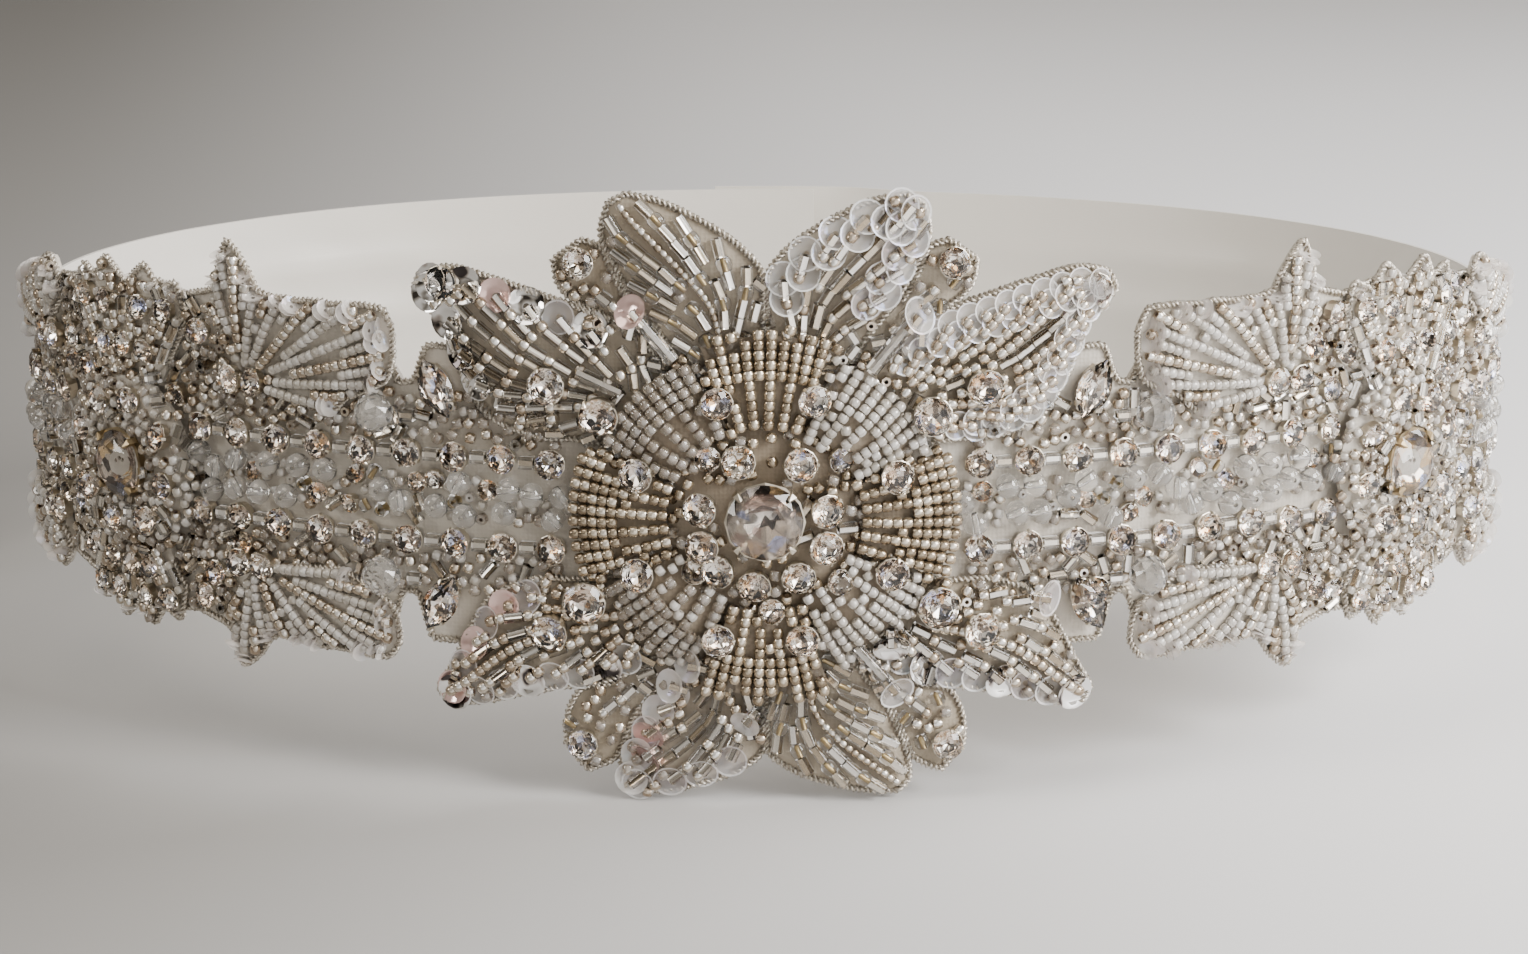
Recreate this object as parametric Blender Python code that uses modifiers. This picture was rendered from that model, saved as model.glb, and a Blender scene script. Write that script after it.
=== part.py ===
"""Bridal sash in its worn form: a beaded applique band at the front, a satin ribbon behind.

Sizes are millimetres, turned into metres where the meshes are made. The front faces -Y,
+Z is up, and the origin is the middle of the waist that the sash goes round.
A place on the sash is (along, up, out): how far along the waist from the middle of the
front, how high, and how far out from the outer face of the band's cloth.
"""

import math
from collections import namedtuple

import bmesh
import bpy
import numpy as np
from mathutils import Matrix, Vector

MM = 0.001

# The waist, measured on the outer face of the band
HALF_WIDTH = 128.0
HALF_DEPTH = 94.0
LEAN = 0.0010  # the cloth leans out above and below its middle by this times the height squared

# Cloth and layers
CLOTH = 1.2
SEAM = 0.3
PAD = 1.9  # a beaded leaf at its edge
PAD_RISE = 1.3  # how much higher a petal is in its middle
ROW_RELIEF = 0.22  # half the height of a ridge of beads
BAND_END = 168.0  # where the applique ends and the ribbon starts
RIBBON_TOP = 19.5
RIBBON_FOOT = -16.5
LAP = 20.0  # how far the two ribbons pass each other at the back
LAP_SLOPE = 24.0
SNAP_RADIUS = 3.5
SNAP_HALF = 0.9  # the thickness of one half of a press snap
SNAP_HEIGHTS = (9.5, -6.5)
LAP_RISE = CLOTH + 2 * SNAP_HALF + 3.3 * SEAM  # the upper ribbon passes over the lower one and the snaps

# The flower
CORE = (6.5, 13.4)  # inner and outer radius of the ring of stones round the middle
CENTRE_STONE = 6.0
RING_STONES = 9
RING_RADIUS = 10.4
INNER_PAD_ANGLE = 20.0  # half the angle that one inner pad takes
INNER_PAD_ROWS = 6

# The side rosettes
ROSETTE = 112.3  # along the waist, on both sides
ROSETTE_STONE = 5.6
ROSETTE_RING = (6.1, 14.6)
ROSETTE_STONES = 8
UNDER_ROSETTE = 1.5  # what passes under a rosette's ring is no higher than this
FAN_START = 0.14  # a fan's inner edge, as a share of its length

# Chains of stones and the bead trail between them
CHAIN_HEIGHTS = {"upper": 7.6, "lower": -6.2}
CHAIN_START = 31.0
CHAIN_END = 163.0
CHAIN_PITCH = 7.8
CUP_HALF = 2.15
CUP_TOP = 3.3
LINK_HALF = 1.0
LINK_TOP = 1.9
TRAIL = (-3.0, 4.4)  # foot and top of the trail
TRAIL_STEP = 4.0

SIDES = {"left": -1, "right": 1}

Station = namedtuple("Station", "along top foot")
Ray = namedtuple("Ray", "angle reach")
Leaf = namedtuple("Leaf", "name upper lower rows rise")

# The band's cloth from its middle to its end. It follows the outline of the flower and the rosette
BAND = [
    Station(0.0, 24.0, -22.0),
    Station(9.0, 24.0, -22.0),
    Station(18.0, 24.0, -22.0),
    Station(27.0, 24.0, -22.0),
    Station(36.0, 24.0, -22.0),
    Station(45.0, 25.0, -22.5),
    Station(53.4, 25.0, -22.5),
    Station(55.6, 19.0, -15.2),
    Station(58.6, 18.6, -15.0),
    Station(60.4, 27.0, -23.0),
    Station(67.0, 28.5, -24.5),
    Station(74.0, 28.0, -24.0),
    Station(81.0, 28.5, -23.0),
    Station(88.5, 34.5, -27.5),
    Station(92.5, 30.5, -25.0),
    Station(98.5, 29.0, -23.5),
    Station(105.5, 30.5, -24.5),
    Station(112.3, 29.0, -23.5),
    Station(119.1, 30.5, -24.5),
    Station(126.1, 28.5, -22.5),
    Station(132.1, 27.5, -21.5),
    Station(138.1, 27.0, -20.5),
    Station(144.1, 25.0, -19.5),
    Station(150.1, 23.5, -18.5),
    Station(156.1, 22.0, -17.7),
    Station(162.1, 20.7, -17.0),
    Station(BAND_END, RIBBON_TOP, RIBBON_FOOT),
]

# Petals and lobes of the flower's right half, as the points (along, up) of their two edges
LEAVES = [
    Leaf(
        "petal_top",
        [(0.3, 14.5), (0.3, 27.0), (0.6, 38.6), (4.5, 43.0), (10.0, 46.6), (16.0, 49.4), (20.8, 50.3)],
        [(6.6, 12.9), (11.0, 21.0), (15.5, 28.0), (20.0, 34.0), (22.6, 39.0), (24.6, 44.5), (23.4, 48.9)],
        5,
        PAD_RISE,
    ),
    Leaf(
        "petal_high",
        [(8.3, 12.1), (13.0, 20.0), (18.0, 26.5), (25.0, 31.0), (34.0, 34.2), (42.0, 36.6), (48.5, 38.0), (53.0, 37.0)],
        [(13.4, 6.4), (20.0, 9.0), (27.0, 11.2), (36.0, 11.7), (43.0, 14.6), (46.6, 20.0), (50.0, 28.5), (54.4, 34.0)],
        5,
        PAD_RISE,
    ),
    Leaf(
        "petal_low",
        [(13.4, -6.4), (20.0, -9.0), (27.0, -11.0), (36.0, -11.4), (43.0, -14.6), (46.6, -20.0), (49.3, -25.5), (51.8, -29.8)],
        [(8.3, -12.1), (13.0, -19.0), (18.0, -24.0), (24.0, -27.0), (31.0, -28.4), (38.0, -29.9), (44.0, -31.6), (49.8, -32.4)],
        5,
        PAD_RISE,
    ),
    Leaf(
        "petal_bottom",
        [(6.6, -12.9), (11.0, -20.0), (15.3, -26.0), (18.5, -30.5), (20.6, -35.0), (22.2, -39.5), (22.4, -42.8)],
        [(0.3, -14.5), (0.3, -27.0), (0.6, -38.4), (4.5, -41.2), (10.0, -43.2), (16.0, -44.5), (20.2, -44.7)],
        5,
        PAD_RISE,
    ),
    Leaf(
        "lobe_high",
        [(18.2, 30.6), (20.7, 33.6), (23.3, 38.6), (24.7, 42.0), (27.6, 43.0)],
        [(20.2, 28.5), (24.7, 31.5), (27.9, 32.9), (31.2, 35.8), (32.0, 39.8)],
        1,
        0.3,
    ),
    Leaf(
        "lobe_low",
        [(19.3, -25.4), (23.8, -27.6), (28.6, -28.7), (30.8, -32.8), (31.0, -37.4)],
        [(17.3, -28.0), (19.0, -30.2), (21.2, -34.8), (23.2, -39.4), (27.4, -41.6)],
        1,
        0.3,
    ),
]

# The right rosette's fans, from their roots: 180 degrees points away from the rosette
FAN_ROOTS = {"high": (26.3, 16.7), "low": (27.0, -13.6)}  # how far from the rosette, and how high
FANS = {
    ("near", "high"): [
        Ray(192, 17.0), Ray(183, 19.0), Ray(175, 26.5), Ray(167, 28.2), Ray(159, 29.6),
        Ray(152, 29.6), Ray(142, 22.5), Ray(128, 17.6), Ray(114, 15.4), Ray(103, 15.2),
        Ray(94, 19.0), Ray(86, 22.8), Ray(76, 17.5), Ray(62, 9.0),
    ],
    ("near", "low"): [
        Ray(184, 16.5), Ray(178, 20.5), Ray(171, 26.0), Ray(166, 27.4), Ray(160, 28.6),
        Ray(154, 28.0), Ray(144, 19.8), Ray(128, 14.6), Ray(114, 12.2), Ray(104, 12.4),
        Ray(93, 15.2), Ray(82, 17.6), Ray(72, 13.4), Ray(60, 8.5),
    ],
    ("far", "high"): [
        Ray(192, 17.0), Ray(183, 22.0), Ray(175, 26.0), Ray(168, 25.0), Ray(160, 21.0),
        Ray(150, 17.4), Ray(138, 14.8), Ray(124, 13.0), Ray(110, 12.2), Ray(96, 13.0),
        Ray(84, 13.4), Ray(72, 10.6), Ray(60, 7.6),
    ],
    ("far", "low"): [
        Ray(184, 16.5), Ray(177, 22.0), Ray(170, 25.0), Ray(163, 21.0), Ray(154, 17.0),
        Ray(143, 13.6), Ray(130, 11.4), Ray(116, 10.0), Ray(100, 9.6), Ray(86, 10.4),
        Ray(72, 8.8), Ray(60, 7.0),
    ],
}
CROWNS = {
    "high": [Ray(60, 27.5), Ray(68, 33.4), Ray(74, 30.2), Ray(81, 33.6), Ray(90, 29.0)],
    "low": [Ray(60, 23.0), Ray(68, 27.8), Ray(75, 25.0), Ray(82, 28.0), Ray(90, 24.4)],
}
CROWN_START = 15.2

# Pointed stones beside the petals, and faceted round beads beside the fans
NAVETTE_LENGTH = 10.0
NAVETTE_HALF = 2.6
NAVETTE_TOP = 3.9
NAVETTES = {"high": (50.9, 18.6, 66.0), "low": (50.9, -15.9, -62.0)}  # along, up, turn in degrees
BEAD_RADIUS = 3.0
BEADS = {"high": (61.3, 14.1), "low": (60.7, -12.3)}


def clear_scene():
    for obj in list(bpy.data.objects):
        bpy.data.objects.remove(obj)


def make_material(name, color, roughness, metallic):
    material = bpy.data.materials.new(name)
    material.use_nodes = True
    shader = material.node_tree.nodes["Principled BSDF"]
    shader.inputs["Base Color"].default_value = (*color, 1.0)
    shader.inputs["Roughness"].default_value = roughness
    shader.inputs["Metallic"].default_value = metallic
    material.diffuse_color = (*color, 1.0)
    return material


def waist_table():
    """Angles round the ellipse of the waist, and the distance along it at each."""
    angles = np.linspace(0.0, 1.25 * math.pi, 3001)
    speed = np.hypot(HALF_WIDTH * np.cos(angles), HALF_DEPTH * np.sin(angles))
    steps = (speed[1:] + speed[:-1]) / 2 * np.diff(angles)
    return angles, np.concatenate([[0.0], np.cumsum(steps)])


ANGLES, RUN = waist_table()
BACK = float(np.interp(math.pi, ANGLES, RUN))  # the middle of the back, along the waist


def foot_and_normal(along):
    """The point of the band's outer face at mid height, and the direction straight out from it."""
    angle = math.copysign(float(np.interp(abs(along), RUN, ANGLES)), along)
    foot = Vector((HALF_WIDTH * math.sin(angle), -HALF_DEPTH * math.cos(angle), 0.0))
    normal = Vector((math.sin(angle) / HALF_WIDTH, -math.cos(angle) / HALF_DEPTH, 0.0))
    return foot, normal.normalized()


def place(along, up, out):
    """The point, in metres, of a place on the sash."""
    foot, normal = foot_and_normal(along)
    return (foot + normal * (out + LEAN * up * up) + Vector((0.0, 0.0, up))) * MM


def frame_at(along, up, out, axis="out"):
    """The matrix that stands an object on a place, with its Z axis straight out or along the waist."""
    normal = foot_and_normal(along)[1]
    height = Vector((0.0, 0.0, 1.0))
    across = height.cross(normal)
    columns = (across, height, normal) if axis == "out" else (height, normal, across)
    turn = Matrix(columns).transposed().to_4x4()
    return Matrix.Translation(place(along, up, out)) @ turn


def smooth_step(low, high, value):
    share = min(1.0, max(0.0, (value - low) / (high - low)))
    return share * share * (3.0 - 2.0 * share)


def curve_through(points):
    """A smooth curve through the points, as a function of 0 to 1 that is even in length."""
    points = np.array(points, float)
    knots = np.concatenate([[0.0], np.cumsum(np.linalg.norm(np.diff(points, axis=0), axis=1))])
    knots /= knots[-1]
    slopes = np.gradient(points, knots, axis=0)

    def at(share):
        i = int(np.clip(np.searchsorted(knots, share, side="right") - 1, 0, len(knots) - 2))
        gap = knots[i + 1] - knots[i]
        t = (share - knots[i]) / gap
        return (
            points[i] * (1 + 2 * t) * (1 - t) ** 2
            + points[i + 1] * t * t * (3 - 2 * t)
            + slopes[i] * gap * t * (1 - t) ** 2
            - slopes[i + 1] * gap * t * t * (1 - t)
        )

    return at


def add_object(name, mesh, material, smooth=True):
    data = bpy.data.meshes.new(name)
    mesh.to_mesh(data)
    mesh.free()
    data.materials.append(material)
    if smooth:
        data.shade_smooth()
        data.set_sharp_from_angle(angle=math.radians(40))
    obj = bpy.data.objects.new(name, data)
    COLLECTION.objects.link(obj)
    return obj


def wall(name, steps, outer, inner, material, ring=False):
    """One closed wall. outer and inner turn (s, w), each from 0 to 1, into a place on the sash.

    It is a grid whose copy is pushed out: the grid takes the inner points, the copy the outer.
    A ring's first and last points are one.
    """
    mesh = bmesh.new()
    bmesh.ops.create_grid(mesh, x_segments=steps[0], y_segments=steps[1], size=0.5)
    s_of = mesh.verts.layers.float.new("s")
    w_of = mesh.verts.layers.float.new("w")
    for vert in mesh.verts:
        vert[s_of] = round((vert.co.x + 0.5) * steps[0]) / steps[0]
        vert[w_of] = round((vert.co.y + 0.5) * steps[1]) / steps[1]
    if ring:
        first = {vert[w_of]: vert for vert in mesh.verts if vert[s_of] == 0.0}
        last = {vert: first[vert[w_of]] for vert in mesh.verts if vert[s_of] == 1.0}
        bmesh.ops.weld_verts(mesh, targetmap=last)
    grown = bmesh.ops.extrude_face_region(mesh, geom=mesh.faces[:])
    outside = {element for element in grown["geom"] if isinstance(element, bmesh.types.BMVert)}
    for vert in mesh.verts:
        shape = outer if vert in outside else inner
        vert.co = place(*shape(vert[s_of], vert[w_of]))
    mesh.normal_update()
    bmesh.ops.recalc_face_normals(mesh, faces=mesh.faces[:])
    return add_object(name, mesh, material)


def turned(name, profile, segments, matrix, material):
    """A turned solid. The profile is (radius, height) in millimetres, from its top to its foot."""
    mesh = bmesh.new()
    verts = [mesh.verts.new((radius * MM, 0.0, height * MM)) for radius, height in profile]
    for first, second in zip(verts, verts[1:]):
        mesh.edges.new((first, second))
    obj = add_object(name, mesh, material, smooth=False)
    screw = obj.modifiers.new("turn", "SCREW")
    screw.axis = "Z"
    screw.steps = screw.render_steps = segments
    screw.use_merge_vertices = True
    screw.merge_threshold = 0.00001
    screw.use_smooth_shade = False
    obj.matrix_world = matrix
    return obj


def gem_profile(radius, foot, top):
    """A round stone in its setting: a straight rim, a sloping crown and a flat table."""
    rim = foot + 0.55 * (top - foot)
    return [(0.0, top), (0.6 * radius, top), (radius, rim), (radius, foot), (0.0, foot)]


def make_band():
    stations = [Station(-s.along, s.top, s.foot) for s in reversed(BAND[1:])] + BAND

    def at(s, w, out):
        station = stations[round(s * (len(stations) - 1))]
        return station.along, station.foot + w * (station.top - station.foot), out

    wall(
        "applique_base",
        (len(stations) - 1, 4),
        lambda s, w: at(s, w, 0.0),
        lambda s, w: at(s, w, -CLOTH),
        ORGANZA,
    )


def ribbon_crease(along, share):
    """Soft lengthwise troughs in the satin, deepest between its ends."""
    depth = math.sin(math.pi * smooth_step(BAND_END, BACK - LAP_SLOPE, along))
    first = math.exp(-(((share - 0.33 - 0.0006 * (along - BAND_END)) / 0.09) ** 2))
    second = math.exp(-(((share - 0.74 + 0.0005 * (along - BAND_END)) / 0.08) ** 2))
    return -depth * (0.9 * first + 0.7 * second)


def make_ribbons():
    """The left ribbon ends under the right one, which rises over the press snaps."""
    for side, sign in SIDES.items():
        end = BACK + LAP / 2

        def at(s, w, out, sign=sign, end=end):
            along = BAND_END + SEAM + s * (end - BAND_END - SEAM)
            rise = LAP_RISE * smooth_step(BACK - LAP / 2 - LAP_SLOPE, BACK - LAP / 2 - 3.0, along)
            out += ribbon_crease(along, w) + (rise if sign > 0 else 0.0)
            return sign * along, RIBBON_FOOT + w * (RIBBON_TOP - RIBBON_FOOT), out

        wall(
            f"ribbon_{side}",
            (24, 5),
            lambda s, w, at=at: at(s, w, 0.0),
            lambda s, w, at=at: at(s, w, -CLOTH),
            SATIN,
        )


def make_snaps():
    """Two press snaps between the laps, each a socket below and a stud above."""
    for number, height in enumerate(SNAP_HEIGHTS, start=1):
        for half, foot in (("socket", SEAM), ("stud", SEAM * 2 + SNAP_HALF)):
            profile = [(0.0, SNAP_HALF), (SNAP_RADIUS - 0.6, SNAP_HALF), (SNAP_RADIUS, 0.0), (0.0, 0.0)]
            turned(f"snap_{half}_{number}", profile, 12, frame_at(BACK, height, foot), METAL)


def make_leaf(leaf, side, sign):
    """A beaded petal or lobe: flat below, crowned above, with slanting ridges of beads."""
    upper, lower = curve_through(leaf.upper), curve_through(leaf.lower)

    def spot(s, w):
        along, up = lower(s) * (1 - w) + upper(s) * w
        return sign * max(along, SEAM), up

    def outer(s, w):
        edge = abs(2 * w - 1)
        crown = leaf.rise * smooth_step(0.42, 0.7, s) * (1 - edge**2) * (1 - 0.5 * s**4)
        ridge = ROW_RELIEF * math.cos(2 * math.pi * leaf.rows * (s - 0.25 * edge))
        return (*spot(s, w), SEAM + PAD + crown + ridge)

    steps = (2 * leaf.rows, 4) if leaf.rows > 1 else (4, 2)
    wall(f"{leaf.name}_{side}", steps, outer, lambda s, w: (*spot(s, w), SEAM), BEADWORK)


def make_inner_pads():
    """Eight small pads round the flower's middle: plain rows, and domes of clear beads between."""
    for number in range(8):
        middle = 45.0 * number
        on_band = number in (0, 4)
        dome = number % 2 == 1
        near, far = (14.2, 26.0) if dome else (15.0, 28.6)
        foot = SEAM if on_band else SEAM + PAD + ROW_RELIEF + SEAM

        def spot(s, w, middle=middle, near=near, far=far):
            angle = math.radians(middle + INNER_PAD_ANGLE * (2 * s - 1))
            radius = near + w * (far - near)
            return radius * math.cos(angle), radius * math.sin(angle)

        def outer(s, w, spot=spot, foot=foot, dome=dome):
            height = 4.7 + (1.7 if dome else 0.5) * math.sin(math.pi * w) * math.sin(math.pi * s)
            ridge = 0.35 * math.cos(2 * math.pi * INNER_PAD_ROWS * s)
            return (*spot(s, w), max(height - 0.9 * w + ridge, foot + 1.0))

        name = f"inner_dome_{number}" if dome else f"inner_rows_{number}"
        inner = lambda s, w, spot=spot, foot=foot: (*spot(s, w), foot)
        wall(name, (2 * INNER_PAD_ROWS, 2), outer, inner, BEADWORK)


def stone_ring(name, centre, radii, ring_radius, count, foot, top):
    """A padded ring with a circle of cupped stones standing out of it."""

    def spot(s, w):
        angle = 2 * math.pi * s
        middle = 2 * ring_radius - radii[0] - radii[1]  # puts the middle points on the stones
        radius = radii[0] + w * (radii[1] - radii[0]) + 2 * w * (1 - w) * middle
        return centre[0] + radius * math.cos(angle), centre[1] + radius * math.sin(angle)

    def outer(s, w):
        stone = 0.5 + 0.5 * math.cos(2 * math.pi * count * s)
        height = top - 1.7 + 1.7 * stone if w == 0.5 else top - 2.4
        return (*spot(s, w), height)

    wall(name, (3 * count, 2), outer, lambda s, w: (*spot(s, w), foot), BEADWORK, ring=True)


def make_core():
    stone_ring("flower_core", (0.0, 0.0), CORE, RING_RADIUS, RING_STONES, SEAM, 7.0)
    profile = gem_profile(CENTRE_STONE, 0.0, 8.6)
    turned("centre_stone", profile, 16, frame_at(0.0, 0.0, SEAM), CRYSTAL)


def mirrored(rays):
    """The rays of half an outline, followed by their mirror image about the vertical."""
    return rays + [Ray(180 - ray.angle, ray.reach) for ray in reversed(rays[:-1])]


def ray_outline(rays):
    """The outline that the rays give, as (angle, reach) for 0 to 1, with a point at each ray."""

    def at(s):
        place_in_list = s * (len(rays) - 1)
        low = min(int(place_in_list), len(rays) - 2)
        share = place_in_list - low
        angle = rays[low].angle + share * (rays[low + 1].angle - rays[low].angle)
        return math.radians(angle), rays[low].reach + share * (rays[low + 1].reach - rays[low].reach)

    return at


def make_fan(reach_side, level, side, sign):
    """A fan of bead rows from one root. The near fans face the flower, the far ones the back."""
    root_out, root_up = FAN_ROOTS[level]
    upward = 1 if level == "high" else -1
    towards = 1 if reach_side == "near" else -1
    rays = FANS[reach_side, level]
    outline = ray_outline(rays)
    count = len(rays) - 1

    def spot(s, w):
        angle, reach = outline(s)
        reach *= FAN_START + w * (1 - FAN_START)
        along = ROSETTE - towards * (root_out - reach * math.cos(angle))
        return sign * along, root_up + upward * reach * math.sin(angle)

    def outer(s, w):
        ridge = ROW_RELIEF if round(s * count) % 2 else -ROW_RELIEF
        crown = 0.9 * math.sin(math.pi * min(w, 0.9))
        return (*spot(s, w), SEAM + PAD + crown + ridge)

    name = f"fan_{level}_{reach_side}_{side}"
    wall(name, (count, 3), outer, lambda s, w: (*spot(s, w), SEAM), BEADWORK)


def make_crown(level, side, sign):
    """The leaves that stand above or hang below a rosette, made as one wavy edged pad."""
    upward = 1 if level == "high" else -1
    rays = mirrored(CROWNS[level])
    outline = ray_outline(rays)

    def spot(s, w):
        angle, reach = outline(s)
        radius = CROWN_START + w * (reach - CROWN_START)
        return sign * (ROSETTE + radius * math.cos(angle)), upward * radius * math.sin(angle)

    def outer(s, w):
        ridge = ROW_RELIEF if round(s * (len(rays) - 1)) % 2 else -ROW_RELIEF
        return (*spot(s, w), SEAM + PAD + 0.8 * (1 - w) + ridge)

    wall(
        f"crown_{level}_{side}",
        (len(rays) - 1, 2),
        outer,
        lambda s, w: (*spot(s, w), SEAM),
        BEADWORK,
    )


def make_rosette(side, sign):
    foot = UNDER_ROSETTE + SEAM
    for reach_side, level in FANS:
        make_fan(reach_side, level, side, sign)
    for level in CROWNS:
        make_crown(level, side, sign)
    centre = (sign * ROSETTE, 0.0)
    stone_ring(f"rosette_ring_{side}", centre, ROSETTE_RING, 10.8, ROSETTE_STONES, foot, 6.4)
    profile = gem_profile(ROSETTE_STONE, 0.0, 6.6)
    turned(f"rosette_stone_{side}", profile, 16, frame_at(sign * ROSETTE, 0.0, foot), CRYSTAL)


def under_rosette(along, margin=SEAM):
    return abs(along - ROSETTE) < ROSETTE_RING[1] + margin


def make_chain(level, side, sign):
    """Square cups of stones joined by short tube beads, thin where it passes under the rosette."""
    height = CHAIN_HEIGHTS[level]
    stations = []
    centre = CHAIN_START + CUP_HALF
    while centre + CUP_HALF <= CHAIN_END:
        link = (LINK_HALF, LINK_TOP)
        cup = (CUP_HALF, CUP_TOP)
        if under_rosette(centre - CUP_HALF) or under_rosette(centre + CUP_HALF):
            stations.append((centre, LINK_HALF, UNDER_ROSETTE))
        else:
            stations.append((centre - CUP_HALF, *cup))
            stations.append((centre + CUP_HALF, *cup))
            stations.append((centre + CUP_HALF + 0.2, *link))
            stations.append((centre + CHAIN_PITCH - CUP_HALF - 0.2, *link))
        centre += CHAIN_PITCH
    stations = [
        (along, half, UNDER_ROSETTE if under_rosette(along) else top) for along, half, top in stations
    ]

    def at(s, w, taper, top):
        along, half, station_top = stations[round(s * (len(stations) - 1))]
        out = station_top if top else SEAM
        return sign * along, height + (2 * w - 1) * half * taper, out

    wall(
        f"chain_{level}_{side}",
        (len(stations) - 1, 1),
        lambda s, w: at(s, w, 0.8, True),
        lambda s, w: at(s, w, 1.0, False),
        METAL,
    )


def make_trail(side, sign):
    """Round clear beads and seed beads between the chains, as one lumpy strip."""
    count = int((CHAIN_END - CHAIN_START) / TRAIL_STEP)

    def spot(s, w):
        return sign * (CHAIN_START + s * (CHAIN_END - CHAIN_START)), TRAIL[0] + w * (TRAIL[1] - TRAIL[0])

    def outer(s, w):
        along, up = spot(s, w)
        if under_rosette(abs(along), TRAIL_STEP):
            return along, up, UNDER_ROSETTE
        lump = (round(s * count) + round(w * 2)) % 2
        return along, up, 1.5 + 1.1 * lump

    wall(f"trail_{side}", (count, 2), outer, lambda s, w: (*spot(s, w), SEAM), CRYSTAL)


def make_navette(level, side, sign):
    """A pointed oval stone, with a raised ridge along its middle."""
    along, up, turn = NAVETTES[level]
    turn = math.radians(turn)
    length = (math.cos(turn), math.sin(turn))

    def spot(s, w):
        run = NAVETTE_LENGTH * (s - 0.5)
        across = (0.35 + (NAVETTE_HALF - 0.35) * math.sin(math.pi * s) ** 0.8) * (2 * w - 1)
        return (
            sign * (along + run * length[0] - across * length[1]),
            up + run * length[1] + across * length[0],
        )

    def outer(s, w):
        high = 1.6 * math.sin(math.pi * s) if w == 0.5 else 0.0
        return (*spot(s, w), NAVETTE_TOP - 1.6 + high)

    wall(f"navette_{level}_{side}", (6, 2), outer, lambda s, w: (*spot(s, w), SEAM), CRYSTAL)


def make_bead(level, side, sign):
    """A large faceted bead, threaded along the band."""
    along, up = BEADS[level]
    half = 0.9 * BEAD_RADIUS
    profile = [(0.0, half), (0.45 * BEAD_RADIUS, half), (BEAD_RADIUS, 0.3 * half)]
    profile += [(radius, -height) for radius, height in reversed(profile)]
    matrix = frame_at(sign * along, up, SEAM + BEAD_RADIUS, axis="along")
    turned(f"bead_{level}_{side}", profile, 8, matrix, CRYSTAL)


clear_scene()
COLLECTION = bpy.data.collections.new("bridal_sash")
bpy.context.scene.collection.children.link(COLLECTION)
ORGANZA = make_material("organza", (0.78, 0.75, 0.70), 0.7, 0.0)
SATIN = make_material("satin", (0.93, 0.91, 0.87), 0.35, 0.0)
BEADWORK = make_material("beadwork", (0.74, 0.71, 0.65), 0.3, 0.4)
CRYSTAL = make_material("crystal", (0.88, 0.87, 0.85), 0.05, 0.2)
METAL = make_material("silver_metal", (0.70, 0.66, 0.58), 0.3, 1.0)

make_band()
make_ribbons()
make_snaps()
make_core()
make_inner_pads()
for side_name, side_sign in SIDES.items():
    for flower_leaf in LEAVES:
        make_leaf(flower_leaf, side_name, side_sign)
    make_rosette(side_name, side_sign)
    make_trail(side_name, side_sign)
    for chain_level in CHAIN_HEIGHTS:
        make_chain(chain_level, side_name, side_sign)
    for stone_level in NAVETTES:
        make_navette(stone_level, side_name, side_sign)
    for bead_level in BEADS:
        make_bead(bead_level, side_name, side_sign)
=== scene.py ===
"""Looks of the bridal sash: beads, stones, sequins, cord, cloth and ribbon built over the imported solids.

Sizes are millimetres, turned into metres where the meshes are made. A place on the sash is
(along, up, out): how far along the waist from the middle of the front, how high, and how far
out from the outer face of the band's cloth.
"""

import math
from collections import namedtuple

import bmesh
import bpy
import numpy as np
from mathutils import Matrix, Vector


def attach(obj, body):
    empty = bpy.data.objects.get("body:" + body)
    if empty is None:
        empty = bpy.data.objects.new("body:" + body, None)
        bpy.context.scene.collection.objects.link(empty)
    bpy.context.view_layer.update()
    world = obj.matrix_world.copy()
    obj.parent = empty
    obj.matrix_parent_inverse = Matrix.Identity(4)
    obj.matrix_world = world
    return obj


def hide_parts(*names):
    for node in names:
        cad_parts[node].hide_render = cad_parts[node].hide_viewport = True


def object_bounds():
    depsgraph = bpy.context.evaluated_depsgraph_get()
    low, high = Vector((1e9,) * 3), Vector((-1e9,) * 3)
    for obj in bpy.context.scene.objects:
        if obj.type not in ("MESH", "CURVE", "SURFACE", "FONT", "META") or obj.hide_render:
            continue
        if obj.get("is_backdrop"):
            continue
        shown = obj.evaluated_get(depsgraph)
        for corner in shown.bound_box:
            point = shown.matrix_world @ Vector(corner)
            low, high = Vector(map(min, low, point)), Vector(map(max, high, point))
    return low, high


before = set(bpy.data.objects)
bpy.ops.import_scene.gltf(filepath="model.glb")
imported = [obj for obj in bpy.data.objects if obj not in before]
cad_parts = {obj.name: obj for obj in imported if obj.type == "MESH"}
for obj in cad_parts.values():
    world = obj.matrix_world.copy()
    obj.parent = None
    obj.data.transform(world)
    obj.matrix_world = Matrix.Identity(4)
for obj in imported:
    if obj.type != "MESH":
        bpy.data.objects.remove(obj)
CAD_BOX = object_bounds()

MM = 0.001
RANDOM = np.random.default_rng(11)

# The waist and the layers, as in the solids
HALF_WIDTH = 128.0
HALF_DEPTH = 94.0
LEAN = 0.0010
CLOTH = 1.2
SEAM = 0.3
BAND_END = 168.0
RIBBON_TOP = 19.5
RIBBON_FOOT = -16.5
LAP = 20.0
LAP_SLOPE = 24.0
LAP_RISE = 4.0
RIBBON_CLOTH = 0.7  # satin, double
SEWN_GAP = 0.02  # between the band's end and the ribbon sewn to it
LEAF_CLOTH = 0.9  # the top of a petal's or fan's cloth at its edge, with its felt backing
UPPER_LEAF = 2.5  # the same for the inner pads, which lie on the petals

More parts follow.
